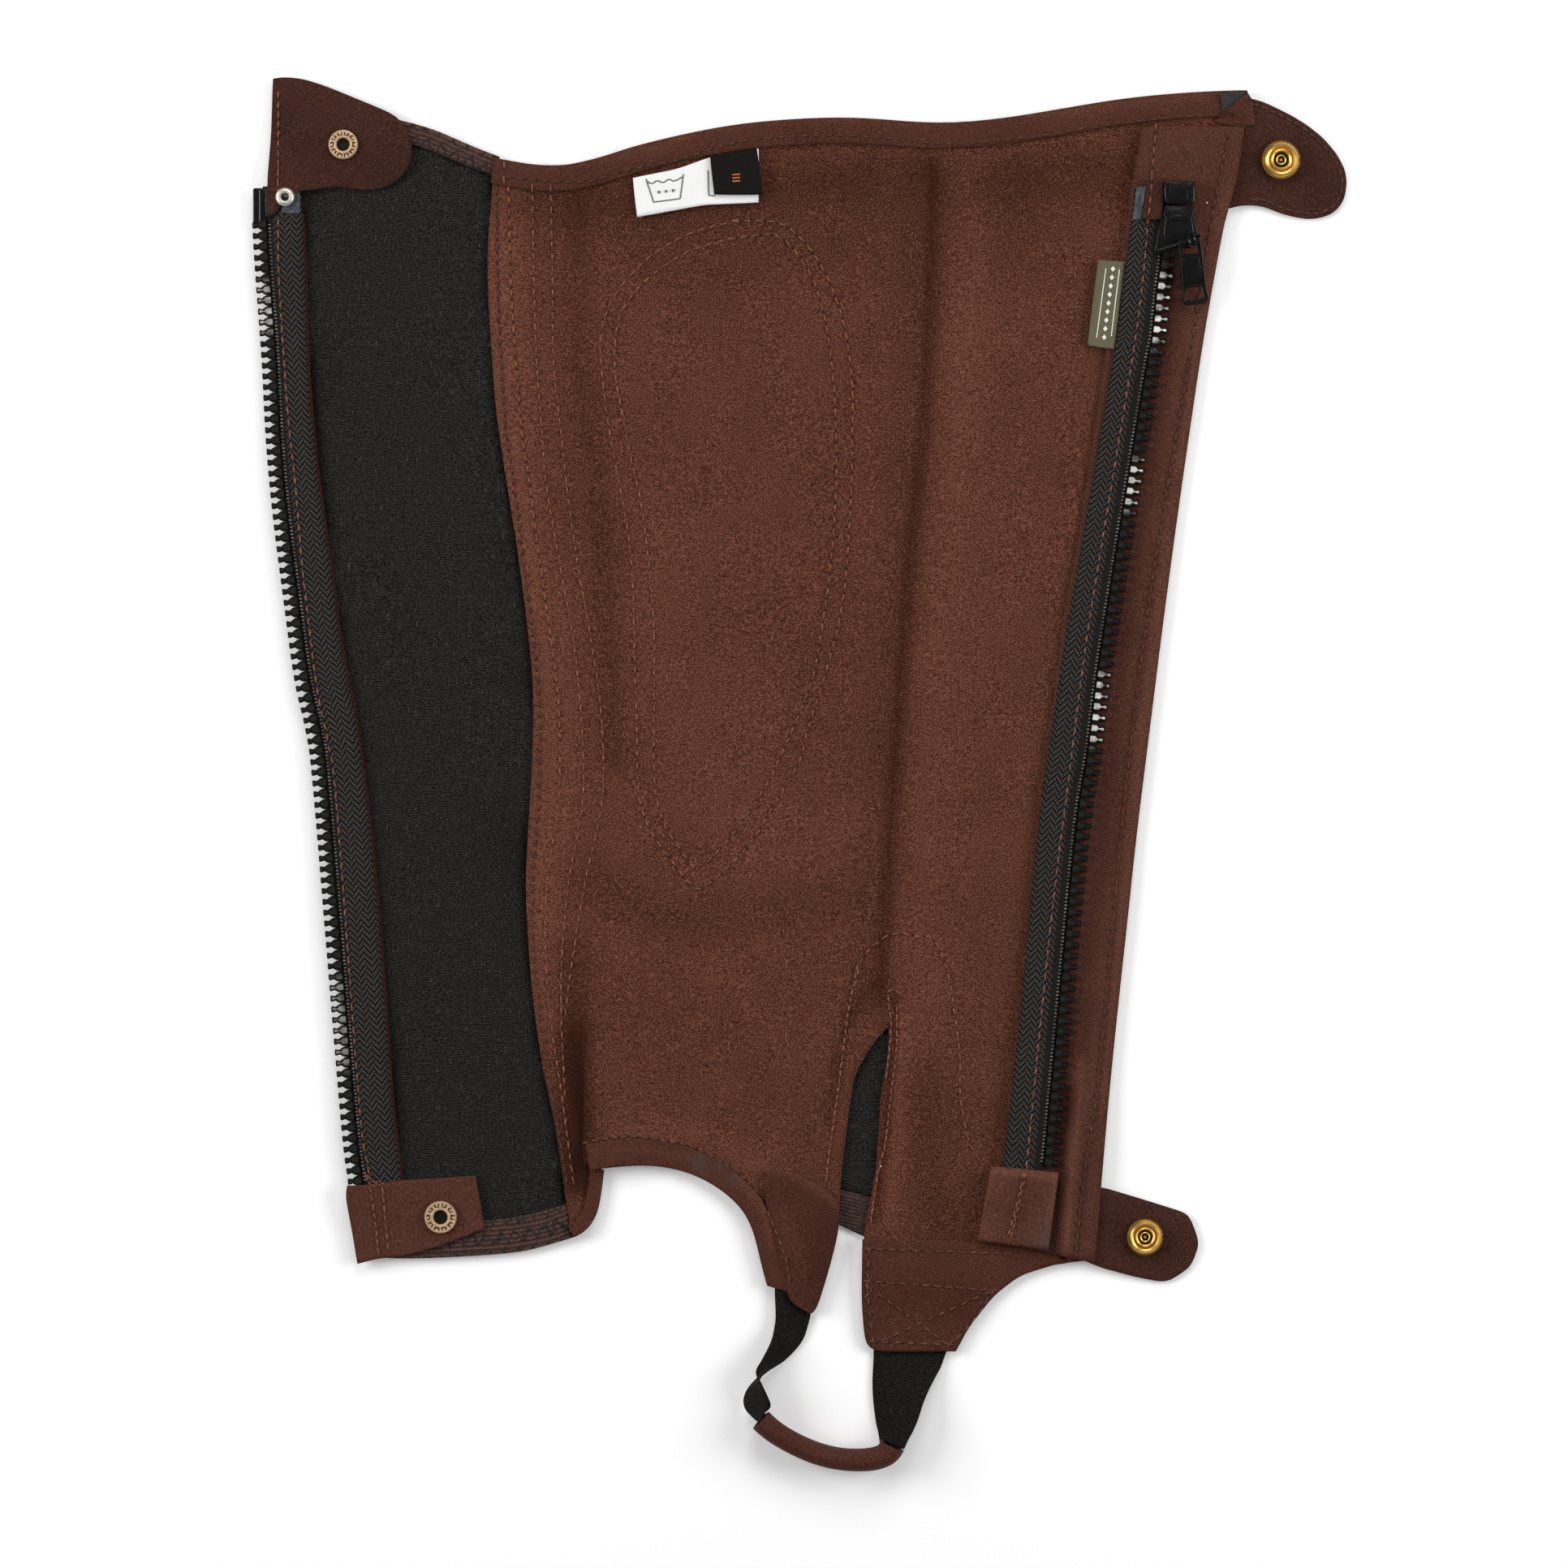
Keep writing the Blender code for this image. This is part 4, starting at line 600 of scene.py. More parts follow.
# Painted shade and highlight: bands where the cloth colour is darker along valleys, grooves, folds and under
# bindings, and lighter on ridges and raised edges. Each: line in mm, half width, change
shadingBands = {
    "calfPanel": [
        ([(-108, 215), (-110, 182), (-106, 125), (-100, 79), (-93, 50), (-90, 21), (-90, -10), (-94, -41),
          (-93, -94)], 9, 0.30),
        ([(-82, 215), (-81, 150), (-74, 95), (-71, 50), (-68, 5)], 5, -0.25),
        ([(-78, 140), (-72, 90), (-70, 50), (-69, 10)], 9, -0.1),
        ([(-84, -66), (-83.5, -90), (-83, -120), (-81.5, -150)], 7, -0.4),
        ([(-83, -96), (-82.6, -120), (-81.5, -150)], 5, -0.8),
        ([(49.5, 224), (48.5, 182), (45.5, 125), (40.5, 76), (36, 16), (32, -44), (30, -84)], 2.4, -0.62),
        ([(45, 224), (43, 182), (40, 125), (36, 76), (31, 16), (28, -44), (26, -84)], 8, -0.16),
        ([(64, 222), (64, 182), (60, 125), (55, 76), (51, 16), (48, -44), (48, -90)], 10, 0.18),
        ([(-76, -40), (-55, -50), (-20, -53), (12, -48)], 9, -0.2),
        ([(-56, 60), (-30, -4), (0, -30)], 26, 0.1),
        ([(-60, 188), (-20, 192), (30, 196), (80, 200)], 16, -0.16),
        ([(47, -118), (48, -145), (52, -168)], 9, -0.24),
        ([(-100, 212), (-60, 211), (-20, 216), (30, 219), (80, 219), (120, 222)], 12, -0.4),
        ([(-64, -132), (-46, -131), (-30, -136), (-16, -146)], 5, 0.2),
        ([(35, -82), (33.6, -95), (31.8, -128), (28.5, -164)], 1.6, -0.6),
        ([(37.5, -90), (36.8, -128), (33, -164)], 3, 0.25),
        ([(28, -78), (22, -84), (15, -100), (10.5, -128)], 2.4, -0.35),
    ],
    "placketBand": [
        ([(93.5, -174), (95.5, -150), (99, -118)], 2.6, -0.8),
        ([(99, -128), (104, -86), (112, -20), (121, 60), (131, 130), (139, 178)], 4, -0.35),
        ([(111, -120), (119, -56), (127, 12), (137, 88), (147, 160), (158, 215)], 3.5, 0.25),
        ([(98.6, -174), (99.8, -150), (104, -106)], 1.8, 0.5),
        ([(102, -174.9), (104.8, -149.6), (110.6, -109.4), (117.9, -30.5), (122.4, 11), (130.5, 73.1),
          (143.4, 150.5)], 1.1, -0.35),
    ],
    "topBinding": [([(-100, 226), (-60, 229), (-20, 242), (40, 243), (90, 244), (150, 251)], 2.5, 0.3)],
    "tabTopLeft": [([(-190, 240), (-170, 222), (-150, 222)], 14, -0.2)],
    "tabTopRight": [([(172, 226), (185, 224), (192, 216)], 9, -0.25)],
    "tabBottomRight": [([(116, -166), (136, -176)], 7, -0.25)],
    "leftTongue": [
        ([(12, -160), (8, -180), (4, -194)], 5, -0.2),
        ([(-6, -160), (-2, -178)], 3, 0.2),
        ([(-4, -156), (4, -180)], 12, -0.14),
        ([(-20, -144), (-9, -145), (4, -151), (14, -159)], 2.2, 0.4),
    ],
    "rightTongue": [([(26, -190), (60, -196)], 8, -0.15)],
    "zipEndPatch": [
        ([(71, -146), (94.5, -148.5)], 1.4, 0.5),
        ([(94.5, -148), (91, -174)], 1.4, 0.35),
        ([(70, -146), (66.5, -171)], 1.2, 0.3),
        ([(82, -152), (79, -170)], 5, -0.2),
        ([(73, -150), (90, -152), (88, -168), (70, -168)], 9, 0.22),
    ],
    "instepBinding": [
        ([(-18, -150), (-9.5, -165), (-6, -178), (-4.5, -187)], 1.5, 0.4),
        ([(-23, -149), (-14, -161), (-10, -175)], 1.5, 0.35),
        ([(-76, -139), (-60, -138), (-40, -141)], 1.6, 0.2),
    ],
}
# Grey marks where the pile is rubbed away. Each: x, y, radius, strength
smudges = {
    "instepBinding": [(-36.9, -143.2, 3.4, 0.75), (-24.4, -149.4, 2.6, 0.6), (-30, -145.5, 2, 0.4)],
    "zipEndPatch": [(90, -171, 3.6, 0.7), (92, -164, 2.4, 0.35)],
}


# Stores the painted shade and highlight bands, and the grey rubbed marks, on the vertices
def paintShading(mesh, lines, marks):
    spots = vertexSpots(mesh)[:, :2] / mm
    shadeLevel, rubbed = np.zeros(len(spots)), np.zeros(len(spots))
    for line, width, change in lines:
        shadeLevel += change * bell(nearLine(spots, smooth(line, 4))[0], width)
    for x, y, radius, strength in marks:
        rubbed += strength * bell(np.hypot(spots[:, 0] - x, spots[:, 1] - y), radius)
    for name, values in (("paintedShading", shadeLevel), ("smudge", rubbed)):
        mesh.attributes.new(name, "FLOAT", "POINT").data.foreach_set("value", values)


for name, wall in walls.items():
    mesh = softened(wall["node"], wall.get("levels", 2), wall.get("crease", 1.0), wall.get("softBox"), 0.3)
    if name in shadingBands:
        paintShading(mesh, shadingBands[name], smudges.get(name, ()))
    clothUv(mesh, wall.get("line"), wall.get("tilt", 0.0))
    settleMesh(mesh)
    wall["piece"] = addPiece(name, mesh, wall["finish"], wall["node"])
for name, wall in walls.items():
    if "hems" not in wall:
        flat, area = cutSize(wall["node"], wall.get("across"))
        hems = [other["piece"] for other in walls.values() if other.get("hems") == name]
print("cloth walls:", len(walls))


# Stirrup strap. Each: node, finish, flat width in mm, crease of its edges, line that its ribs follow
straps = {
    "strapLeft": dict(
        node="strap_left", finish="strap", across=14.0, crease=0.9,
        line=[(-2, -193), (-4, -205), (-8, -215), (-14, -222), (-15.5, -233), (-12, -241)]),
    "strapRight": dict(
        node="strap_right", finish="strap", across=26.0, crease=0.9,
        line=[(42, -205), (40, -217), (38, -230), (34, -246)]),
    "strapSleeve": dict(node="strap_sleeve", finish="trim", across=42.0, crease=0.75, line=None),
}
for name, strap in straps.items():
    mesh = softened(strap["node"], 2, strap["crease"])
    clothUv(mesh, strap["line"])
    flat, area = cutSize(strap["node"], strap["across"])
    addPiece(name, mesh, strap["finish"], strap["node"])
print("stirrup strap done")

surface = []  # what stitches and labels may lie on


def coverWith(piece):
    corners = [v.co.copy() for v in piece.data.vertices]
    tree = BVHTree.FromPolygons(corners, [tuple(f.vertices) for f in piece.data.polygons])
    surface.append((piece.name, tree))


for wall in walls.values():
    coverWith(wall["piece"])


def onTop(x, y, only=None):  # height and slope of the topmost cloth here, in mm
    best, way = None, Vector((0, 0, 1))
    for name, tree in surface:
        if only and name not in only:
            continue
        hit, normal, face, distance = tree.ray_cast(Vector((x * mm, y * mm, 0.1)), Vector((0, 0, -1)))
        if hit is not None and (best is None or hit.z > best):
            best, way = hit.z, normal
    return (0.0 if best is None else best / mm), (way if way.z > 0.3 else Vector((0, 0, 1)))


# Rows of one small shape along lines: thread, dark lumps of painted shade at the needle holes, teeth, cord,
# knurls

def rowTree():
    tree = bpy.data.node_groups.new("row along lines", "GeometryNodeTree")
    sizes = {}
    face = tree.interface
    face.new_socket("Geometry", in_out="OUTPUT", socket_type="NodeSocketGeometry")
    for label, kind in (
        ("Geometry", "NodeSocketGeometry"), ("Piece", "NodeSocketObject"), ("Pitch", "NodeSocketFloat"),
        ("Scale", "NodeSocketVector"), ("Turn", "NodeSocketFloat"), ("Wander", "NodeSocketVector"),
        ("Seed", "NodeSocketInt"), ("Finish", "NodeSocketMaterial"),
    ):
        sizes[label] = face.new_socket(label, in_out="INPUT", socket_type=kind).identifier
    g = Nodes(tree)
    given = g.node("NodeGroupInput")
    entry = given.output
    lines = g.node("GeometryNodeMeshToCurve", {}, {0: given})
    dots = g.node(
        "GeometryNodeCurveToPoints", {"mode": "LENGTH"}, {"Curve": lines, "Length": entry("Pitch")}, "Points"
    )
    up = g.node("GeometryNodeInputNamedAttribute", {"data_type": "FLOAT_VECTOR"}, {"Name": "up"}, "Attribute")
    stand = g.node("FunctionNodeAlignRotationToVector", {"axis": "Z"}, {"Vector": up})
    follow = g.node(
        "FunctionNodeAlignRotationToVector", {"axis": "X", "pivot_axis": "Z"},
        {"Rotation": stand, "Vector": dots.output("Tangent")},
    )
    loose = g.node(
        "FunctionNodeRandomValue", {"data_type": "FLOAT_VECTOR"},
        {"Min": g.node("ShaderNodeVectorMath", {"operation": "SCALE"}, {0: entry("Wander"), "Scale": -1.0}),
         "Max": entry("Wander"), "Seed": entry("Seed")}, "Value",
    )
    turn = g.node("ShaderNodeCombineXYZ", {}, {2: entry("Turn")})
    tip = g.node("ShaderNodeVectorMath", {"operation": "ADD"}, {0: loose, 1: turn})
    turned = g.node(
        "FunctionNodeRotateRotation", {"rotation_space": "LOCAL"},
        {"Rotation": follow, "Rotate By": g.node("FunctionNodeEulerToRotation", {}, {0: tip})},
    )
    shape = g.node("GeometryNodeObjectInfo", {}, {0: entry("Piece")}, "Geometry")
    placed = g.node("GeometryNodeInstanceOnPoints", {}, {
        "Points": dots, "Instance": shape, "Rotation": turned, "Scale": entry("Scale"),
    })
    real = g.node("GeometryNodeRealizeInstances", {}, {0: placed})
    done = g.node("GeometryNodeSetMaterial", {}, {"Geometry": real, "Material": entry("Finish")})
    g.node("NodeGroupOutput", {}, {0: done})
    return tree, sizes


rowNodes, rowSizes = rowTree()
shapes = bpy.data.collections.new("small shapes")


def row(name, lines, shape, finish, pitch, slot, node=None, heights=None, only=None, lift=0.0, seed=1,
        scale=(1, 1, 1), turn=0.0, wander=(0, 0, 0)):
    points, ups, edges = [], [], []
    for index, line in enumerate(lines):
        base = len(points)
        run = np.array(line, float) if heights is not None else smooth(line, 1.0)
        for k, place in enumerate(run):
            if heights is not None:
                z, way = heights[index][k], Vector((0, 0, 1))
            else:
                z, way = onTop(place[0], place[1], only)
            points.append((Vector((place[0], place[1], z)) + way * lift) * mm)
            ups.append(way)
        edges += [(base + k, base + k + 1) for k in range(len(run) - 1)]
    mesh = bpy.data.meshes.new(name)
    mesh.from_pydata(points, edges, [])
    layer = mesh.attributes.new("up", "FLOAT_VECTOR", "POINT")
    layer.data.foreach_set("vector", np.array([tuple(w) for w in ups]).ravel())
    holder = newObject(name + " line", mesh)
    rows = holder.modifiers.new("Row", "NODES")
    rows.node_group = rowNodes
    for label, value in {
        "Piece": shape, "Pitch": pitch * mm, "Scale": scale, "Turn": turn, "Wander": wander, "Seed": seed,
        "Finish": finishes[finish],
    }.items():
        rows[rowSizes[label]] = value
    return addPiece(name, shaded(plainMesh(holder), 45), finish, node)


def smallShape(name, points, faces):
    mesh = bpy.data.meshes.new(name)
    mesh.from_pydata([tuple(c * mm for c in p) for p in points], [], faces)
    tool = bmesh.new()
    tool.from_mesh(mesh)
    bmesh.ops.recalc_face_normals(tool, faces=tool.faces[:])
    tool.to_mesh(mesh)
    tool.free()
    made = bpy.data.objects.new(name, mesh)
    shapes.objects.link(made)
    return made


def ringFaces(rings, count):  # the sides and both ends of a solid made of rings of points
    faces = []
    for i in range(rings - 1):
        for k in range(count):
            a, b = i * count + k, i * count + (k + 1) % count
            faces.append((a, b, b + count, a + count))
    return faces + [tuple(range(count)), tuple(range((rings - 1) * count, rings * count))]


def threadShape(name, length, width, height, sides=6, rings=5):  # an arched strand, its ends in the cloth
    points = []
    for i in range(rings):
        t = i / (rings - 1) * 2 - 1
        swell = math.sqrt(max(0.0, 1 - (t * 0.96) ** 2)) * 0.75 + 0.25
        for k in range(sides):
            a = 2 * math.pi * k / sides
            points.append((t * length / 2, math.cos(a) * width / 2 * swell,
                           math.sin(a) * width / 2 * swell + height * (1 - t * t) - height * 0.5))
    return smallShape(name, points, ringFaces(rings, sides))


def block(outline, low, high, inset):  # a slab with its top edge drawn in
    middle = np.mean(outline, axis=0)
    points = []
    for z, shrink in ((low, inset), (low + inset, 0.0), (high - inset, 0.0), (high, inset)):
        for x, y in outline:
            way = np.array([x, y]) - middle
            way = way * (1 - shrink / max(np.linalg.norm(way), 0.01))
            points.append((middle[0] + way[0], middle[1] + way[1], z))
    return points, ringFaces(4, len(outline))


def joined(*solids):
    points, faces = [], []
    for more, quads in solids:
        faces += [tuple(i + len(points) for i in q) for q in quads]
        points += more
    return points, faces


strand = threadShape("strand", 2.9, 0.78, 0.46)
puncture = threadShape("puncture", 1.5, 0.75, 0.12, 6, 4)

# Stitching. Each: lines in mm, pitch, thread, where the thread belongs
seamRows = [
    [(-111.8, 216), (-111.3, 182), (-110.1, 153.2), (-108, 124.7), (-105.3, 107.3), (-102, 78.8),
     (-98.1, 50), (-95.7, 21.2), (-96.3, -10), (-98.7, -41.2), (-97.8, -70), (-94.8, -94), (-90.5, -122),
     (-86, -150)],
    [(-107.4, 216), (-106.5, 182), (-104.7, 153.2), (-102.3, 124.7), (-99.6, 107.3), (-96, 78.8),
     (-91.8, 50), (-88.8, 21.2), (-89.1, -10), (-93.3, -41.2), (-93.6, -70), (-91.5, -94), (-87.6, -120),
     (-83.6, -150)],
    [(-98.6, 216), (-98.1, 182), (-97.2, 153.2), (-95.1, 124.7), (-93.6, 107.3), (-88.8, 78.8), (-83.7, 50),
     (-80.7, 21.2), (-80.1, -10), (-85.5, -41.2), (-87.9, -70), (-87.9, -94), (-86.7, -117.8)],
    [(-91.8, 216), (-91.2, 182), (-90.9, 153.2), (-87.9, 124.7), (-86.1, 107.3), (-82.2, 78.8), (-77.1, 50),
     (-73.2, 21.2), (-72.9, -10), (-79.5, -41.2), (-84, -70), (-86.5, -88)],
]
patchOuter = [
    (-23.7, 204.2), (-8.4, 203.6), (0.9, 197.3), (8.4, 186.8), (13.2, 176.3), (17.1, 162.8), (19.5, 143.6),
    (19.5, 124.1), (19.2, 106.1), (17.4, 76.1), (15, 58.1), (9.6, 37.1), (3, 16.1), (0.3, 5.6), (-5.4, -5),
    (-10.2, -12.8), (-15.9, -22.4), (-22.8, -30.8), (-31.2, -38.6), (-37.2, -42.5), (-42.9, -37.7),
    (-48.6, -29.9), (-54.3, -22.4), (-58.2, -12.8), (-59.7, -3.2), (-60, 16.1), (-60.9, 46.1),
    (-61.5, 70.1), (-63.6, 91.1), (-67.5, 112.1), (-71.1, 132.5), (-72.9, 147.8), (-73.5, 159.5),
    (-71.1, 170.9), (-65.7, 180.2), (-57.3, 189.2), (-48.3, 195.5), (-39, 200), (-23.7, 204.2),
]
patchInner = [
    (-25.2, 197.6), (-8.4, 198.5), (2.7, 186.8), (8.4, 172.4), (11.7, 153.2), (13.2, 134.3), (13.5, 106.1),
    (11.4, 76.1), (7.5, 49.1), (4.5, 34.1), (-2.7, 16.1), (-6.6, 7.4), (-11.1, -2.3), (-18, -12.8),
    (-24.6, -22.4), (-32.4, -30.8), (-37.5, -35.6), (-44.7, -26.9), (-49.5, -19.4), (-52.5, -9.8),
    (-53.7, 1.7), (-53.7, 52.1), (-55.5, 76.1), (-58.5, 100.1), (-62.7, 118.7), (-65.7, 134.3),
    (-68.1, 148.1), (-68.1, 159.5), (-66.6, 168.5), (-62.7, 175.4), (-57.3, 181.7), (-48.3, 188.6),
    (-39, 193.7), (-25.2, 197.6),
]
topBindingRow = [
    (-107.6, 220.1), (-97.2, 218.9), (-84.9, 218.3), (-75.6, 218.9), (-69.6, 221), (-61.8, 223),
    (-42.9, 226.9), (-32.7, 230.6), (-15.6, 234), (8.4, 235.5), (27.6, 234.8), (46.8, 232.9), (61.2, 232.4),
    (75.3, 233.9), (91.5, 235.8), (107.1, 238.4), (126, 240.9), (138.6, 242.3), (152.6, 242.9),
]
instepRow = [
    (-78.6, -136), (-72, -134.6), (-62.4, -133.7), (-52.2, -134.9), (-39.9, -137.6), (-28.5, -143.4),
    (-17, -152.6), (-9.6, -166), (-5.4, -178), (-3.9, -186.4),
]
slitRow = [(36, -86.9), (35.7, -102.8), (33.6, -119), (31.5, -137), (29.1, -146.2), (26.4, -164.6)]
slitTopRow = [(36.6, -80.6), (33.4, -80.2), (33, -84.6), (33.8, -92), (33.2, -101), (32, -111)]
slitLeftRow = [
    (21.3, -71.6), (18.3, -86.3), (17.1, -94.1), (14.7, -113), (12.6, -128.3), (10.8, -140.6),
    (9.9, -149.3),
]
anklePatchRow = [
    (20.7, -77.3), (23.1, -68.3), (30.3, -61.1), (36.6, -59), (43.2, -59.9), (49.5, -61.4), (54.3, -72.5),
    (56.7, -85.1), (59.1, -103.7), (59.4, -119.9), (62.4, -135.2), (65.7, -141.5),
]
tongueRows = [
    [(25.2, -175.2), (77.1, -177)], [(25, -187.1), (72, -190.6)],
    [(25.6, -176), (25.2, -192), (27, -208.6)], [(27, -209.4), (55.5, -210.6)],
    [(71.4, -191), (63, -203), (55.5, -210.5)], [(30, -192.5), (54, -210)], [(69, -191.6), (31.5, -208.6)],
]
placketRow = [
    (158.1, 236.3), (155.1, 220.7), (152.4, 206.9), (143.4, 150.5), (130.5, 73.1), (122.4, 11),
    (117.9, -30.5), (110.6, -109.4), (104.8, -149.6), (102, -174.9),
]
rightTapeRow = [
    (131.4, 238.4), (130.4, 226), (128.6, 206), (128.4, 203.9), (126.9, 185.6), (123, 155), (109.8, 74.6),
    (105.3, 45.5), (101.7, 17.9), (98.7, -6.5), (94.5, -38.9), (89.7, -83.6), (83.7, -143.9),
]
leftTapeRow = [
    (-192.3, 203.3), (-192, 183.2), (-189, 136.1), (-186, 107.3), (-183.6, 78.8), (-180.9, 54.8),
    (-177.9, 30.8), (-174, 11.9), (-170.7, -12.2), (-162.3, -122.9), (-159, -146.3),
]
tabEdgeRow = [
    (168.4, 246.6), (173, 245), (181, 241.3), (187, 237.7), (192, 233.5), (197, 227.7), (199.6, 222.5),
    (200.4, 218.4), (199.5, 213.3), (197, 209.7), (193.5, 207.7), (189, 206.9), (182.9, 207.7),
    (177.6, 209.2), (172.4, 211.6), (167.6, 212.2),
]
stitching = {
    "seamThread": dict(lines=seamRows[1:], pitch=4.3, slot="main_panel"),
    "seamEdgeThread": dict(lines=seamRows[:1], pitch=4.3, thread="darkThread", slot="main_panel"),
    "patchThread": dict(lines=[patchOuter, patchInner], pitch=4.4, slot="main_panel"),
    "topBindingThread": dict(lines=[topBindingRow], pitch=4.4, thread="darkThread", slot="top_binding"),
    "instepThread": dict(lines=[instepRow], pitch=3.6, thread="rustThread", slot="instep_binding"),
    "slitThread": dict(lines=[slitRow, slitLeftRow, slitTopRow], pitch=3.0, slot="main_panel"),
    "ankleThread": dict(lines=[anklePatchRow], pitch=4.2, slot="main_panel"),
    "tongueThread": dict(lines=tongueRows, pitch=4.2, thread="rustThread", slot="right_tongue"),
    "placketThread": dict(lines=[placketRow], pitch=4.35, thread="darkThread", slot="placket"),
    "rightTapeThread": dict(lines=[rightTapeRow], pitch=4.3, slot="zip_tape_right"),
    "leftTapeThread": dict(lines=[leftTapeRow], pitch=4.3, slot="zip_tape_left"),
    "tabThread": dict(
        lines=[[(-192.4, 250.5), (-192.2, 214.5)], [(-108.9, 224.6), (-109, 219)]],
        pitch=3.6, slot="tab_top_left"),
    "tabOrangeThread": dict(
        lines=[[(-158.1, -153.4), (-156.3, -166), (-155.3, -176)], [(-153.6, -153.6), (-151.8, -174.2)],
               [(83.1, -147.9), (80.8, -158), (78, -170)], [(82.3, -148.4), (80, -158.4), (77.2, -169)]],
        pitch=3.2, slot="tab_bottom_left"),
    "tabEdgeThread": dict(lines=[tabEdgeRow], pitch=3.4, thread="darkThread", slot="tab_top_right"),
}
for number, (name, sewing) in enumerate(stitching.items()):
    lines, pitch, slot = sewing["lines"], sewing["pitch"], sewing["slot"]
    row(name, lines, strand, sewing.get("thread", "thread"), pitch, slot,
        wander=(0.07, 0.07, 0.14), seed=number + 3, lift=0.22)
    between = [smooth(line, 1.0)[int(pitch / 2):] for line in lines]
    # Dark lumps of painted needle hole shade between the stitches
    row(name.replace("Thread", "Holes"), between, puncture, "hole", pitch, slot, seed=number + 20, lift=0.05)
print("stitch rows:", sum(len(sewing["lines"]) for sewing in stitching.values()))


# Zip: teeth that grip the edge of each tape, the cord behind them, slider, box, pin and pull, in mm
zipParts = dict(toothPitch=3.98, cordPitch=1.33, cordInset=1.9, heightInset=2.4, rightOut=1.3)
shoulders = [
    (-1.95, -0.8), (1.95, -0.8), (1.9, 0.9), (1.2, 2.2), (0.85, 2.6), (1, 3.2), (0.95, 4.2), (0.6, 4.4),
    (-0.9, 4.4), (-1.1, 4.1), (-1.05, 3.1), (-0.85, 2.5), (-1.3, 2), (-1.9, 0.9),
]
saddle = [(-1.1, -0.8), (1.1, -0.8), (1.15, 1), (0.4, 1.75), (-0.4, 1.75), (-1.15, 1)]
knob = [(-0.22, 1.6), (0.22, 1.6), (0.24, 2.5), (0.5, 3), (0.45, 3.8), (-0.45, 3.8), (-0.5, 3), (-0.24, 2.5)]
tooth = smallShape("tooth", *joined(
    block(shoulders, -1.5, 0.75, 0.2),
    block([(0.55, 3.5), (1.15, 3.5), (1.15, 4.25), (0.55, 4.25)], 0.2, 1.05, 0.15),
    block([(-1.15, 3.5), (-0.55, 3.5), (-0.55, 4.25), (-1.15, 4.25)], 0.2, 1.05, 0.15),
))
crown = smallShape("crown", *joined(block(saddle, 0.5, 1.45, 0.25), block(knob, 0.6, 1.3, 0.15)))
knuckle = threadShape("knuckle", 1.05, 0.6, 0.25, 6, 4)


def besideLine(line, offset):  # a line moved to one side
    line = smooth(line, 2.0)
    way = np.gradient(line, axis=0)
    way /= np.linalg.norm(way, axis=1)[:, None]
    return line + np.stack([-way[:, 1], way[:, 0]], axis=1) * offset


leftRun = smooth(leftTapeEdge, 2.0)
leftRun = leftRun[(leftRun[:, 1] < 202.5) & (leftRun[:, 1] > -152)][::-1]
rightRun = smooth(rightTapeEdge, 2.0)
rightRun = rightRun[(rightRun[:, 1] < 193.5) & (rightRun[:, 1] > -144.5)]
rightRun = besideLine(rightRun, zipParts["rightOut"])
for side, run in (("Left", leftRun), ("Right", rightRun)):
    tape, node = "zipTape" + side, "zip_chain_" + side.lower()
    inner = besideLine(run, -zipParts["heightInset"])
    heights = [onTop(x, y, [tape])[0] - 0.1 for x, y in inner[1:-1]]
    heights = [heights[0]] + heights + [heights[-1]]
    grip = dict(heights=[heights], wander=(0.02, 0.03, 0.02), seed=5)
    row("teeth" + side, [run], tooth, "teeth", zipParts["toothPitch"], node, node=node, **grip)
    row("crowns" + side, [run], crown, "crown", zipParts["toothPitch"], node, **grip)
    cord = besideLine(run, -zipParts["cordInset"])
    row("cord" + side, [cord], knuckle, "cord", zipParts["cordPitch"], node.replace("chain", "tape"),
        turn=math.pi / 2, lift=0.1, only=[tape], wander=(0.05, 0.05, 0.08), seed=8)
print("zip teeth done")


def curveMesh(lines, closed, height, **settings):  # lines and height in mm, settings in metres
    curve = bpy.data.curves.new("outline", "CURVE")
    for key, value in settings.items():
        setattr(curve, key, value)
    for spots in lines:
        line = curve.splines.new("POLY")
        line.points.add(len(spots) - 1)
        for point, spot in zip(line.points, spots):
            point.co = (*(c * mm for c in spot), 1)
        line.use_cyclic_u = closed
    mesh = plainMesh(newObject("holder", curve))
    for vertex in mesh.vertices:
        vertex.co.z += height * mm
    return mesh


def plate(outline, low, high, edge, holes=()):  # a flat piece with rounded edges, in mm
    return curveMesh(
        [[(x, y, 0) for x, y in line] for line in (outline, *holes)], True, (low + high) / 2,
        dimensions="2D", fill_mode="BOTH", extrude=((high - low) / 2 - edge) * mm,
        bevel_depth=edge * mm, bevel_resolution=2, offset=-edge * mm,
    )


def tube(points, radius, closed=False):  # a round wire or thread through points, in mm
    return curveMesh(
        [points], closed, 0, dimensions="3D", bevel_depth=radius * mm, bevel_resolution=2, use_fill_caps=True
    )


def onePiece(meshes):  # meshes joined and shaded
    tool = bmesh.new()
    for mesh in meshes:
        tool.from_mesh(mesh)
    bmesh.ops.remove_doubles(tool, verts=tool.verts[:], dist=0.000004)
    bmesh.ops.recalc_face_normals(tool, faces=tool.faces[:])
    return shaded(fromTool(tool, "joined"), 35)


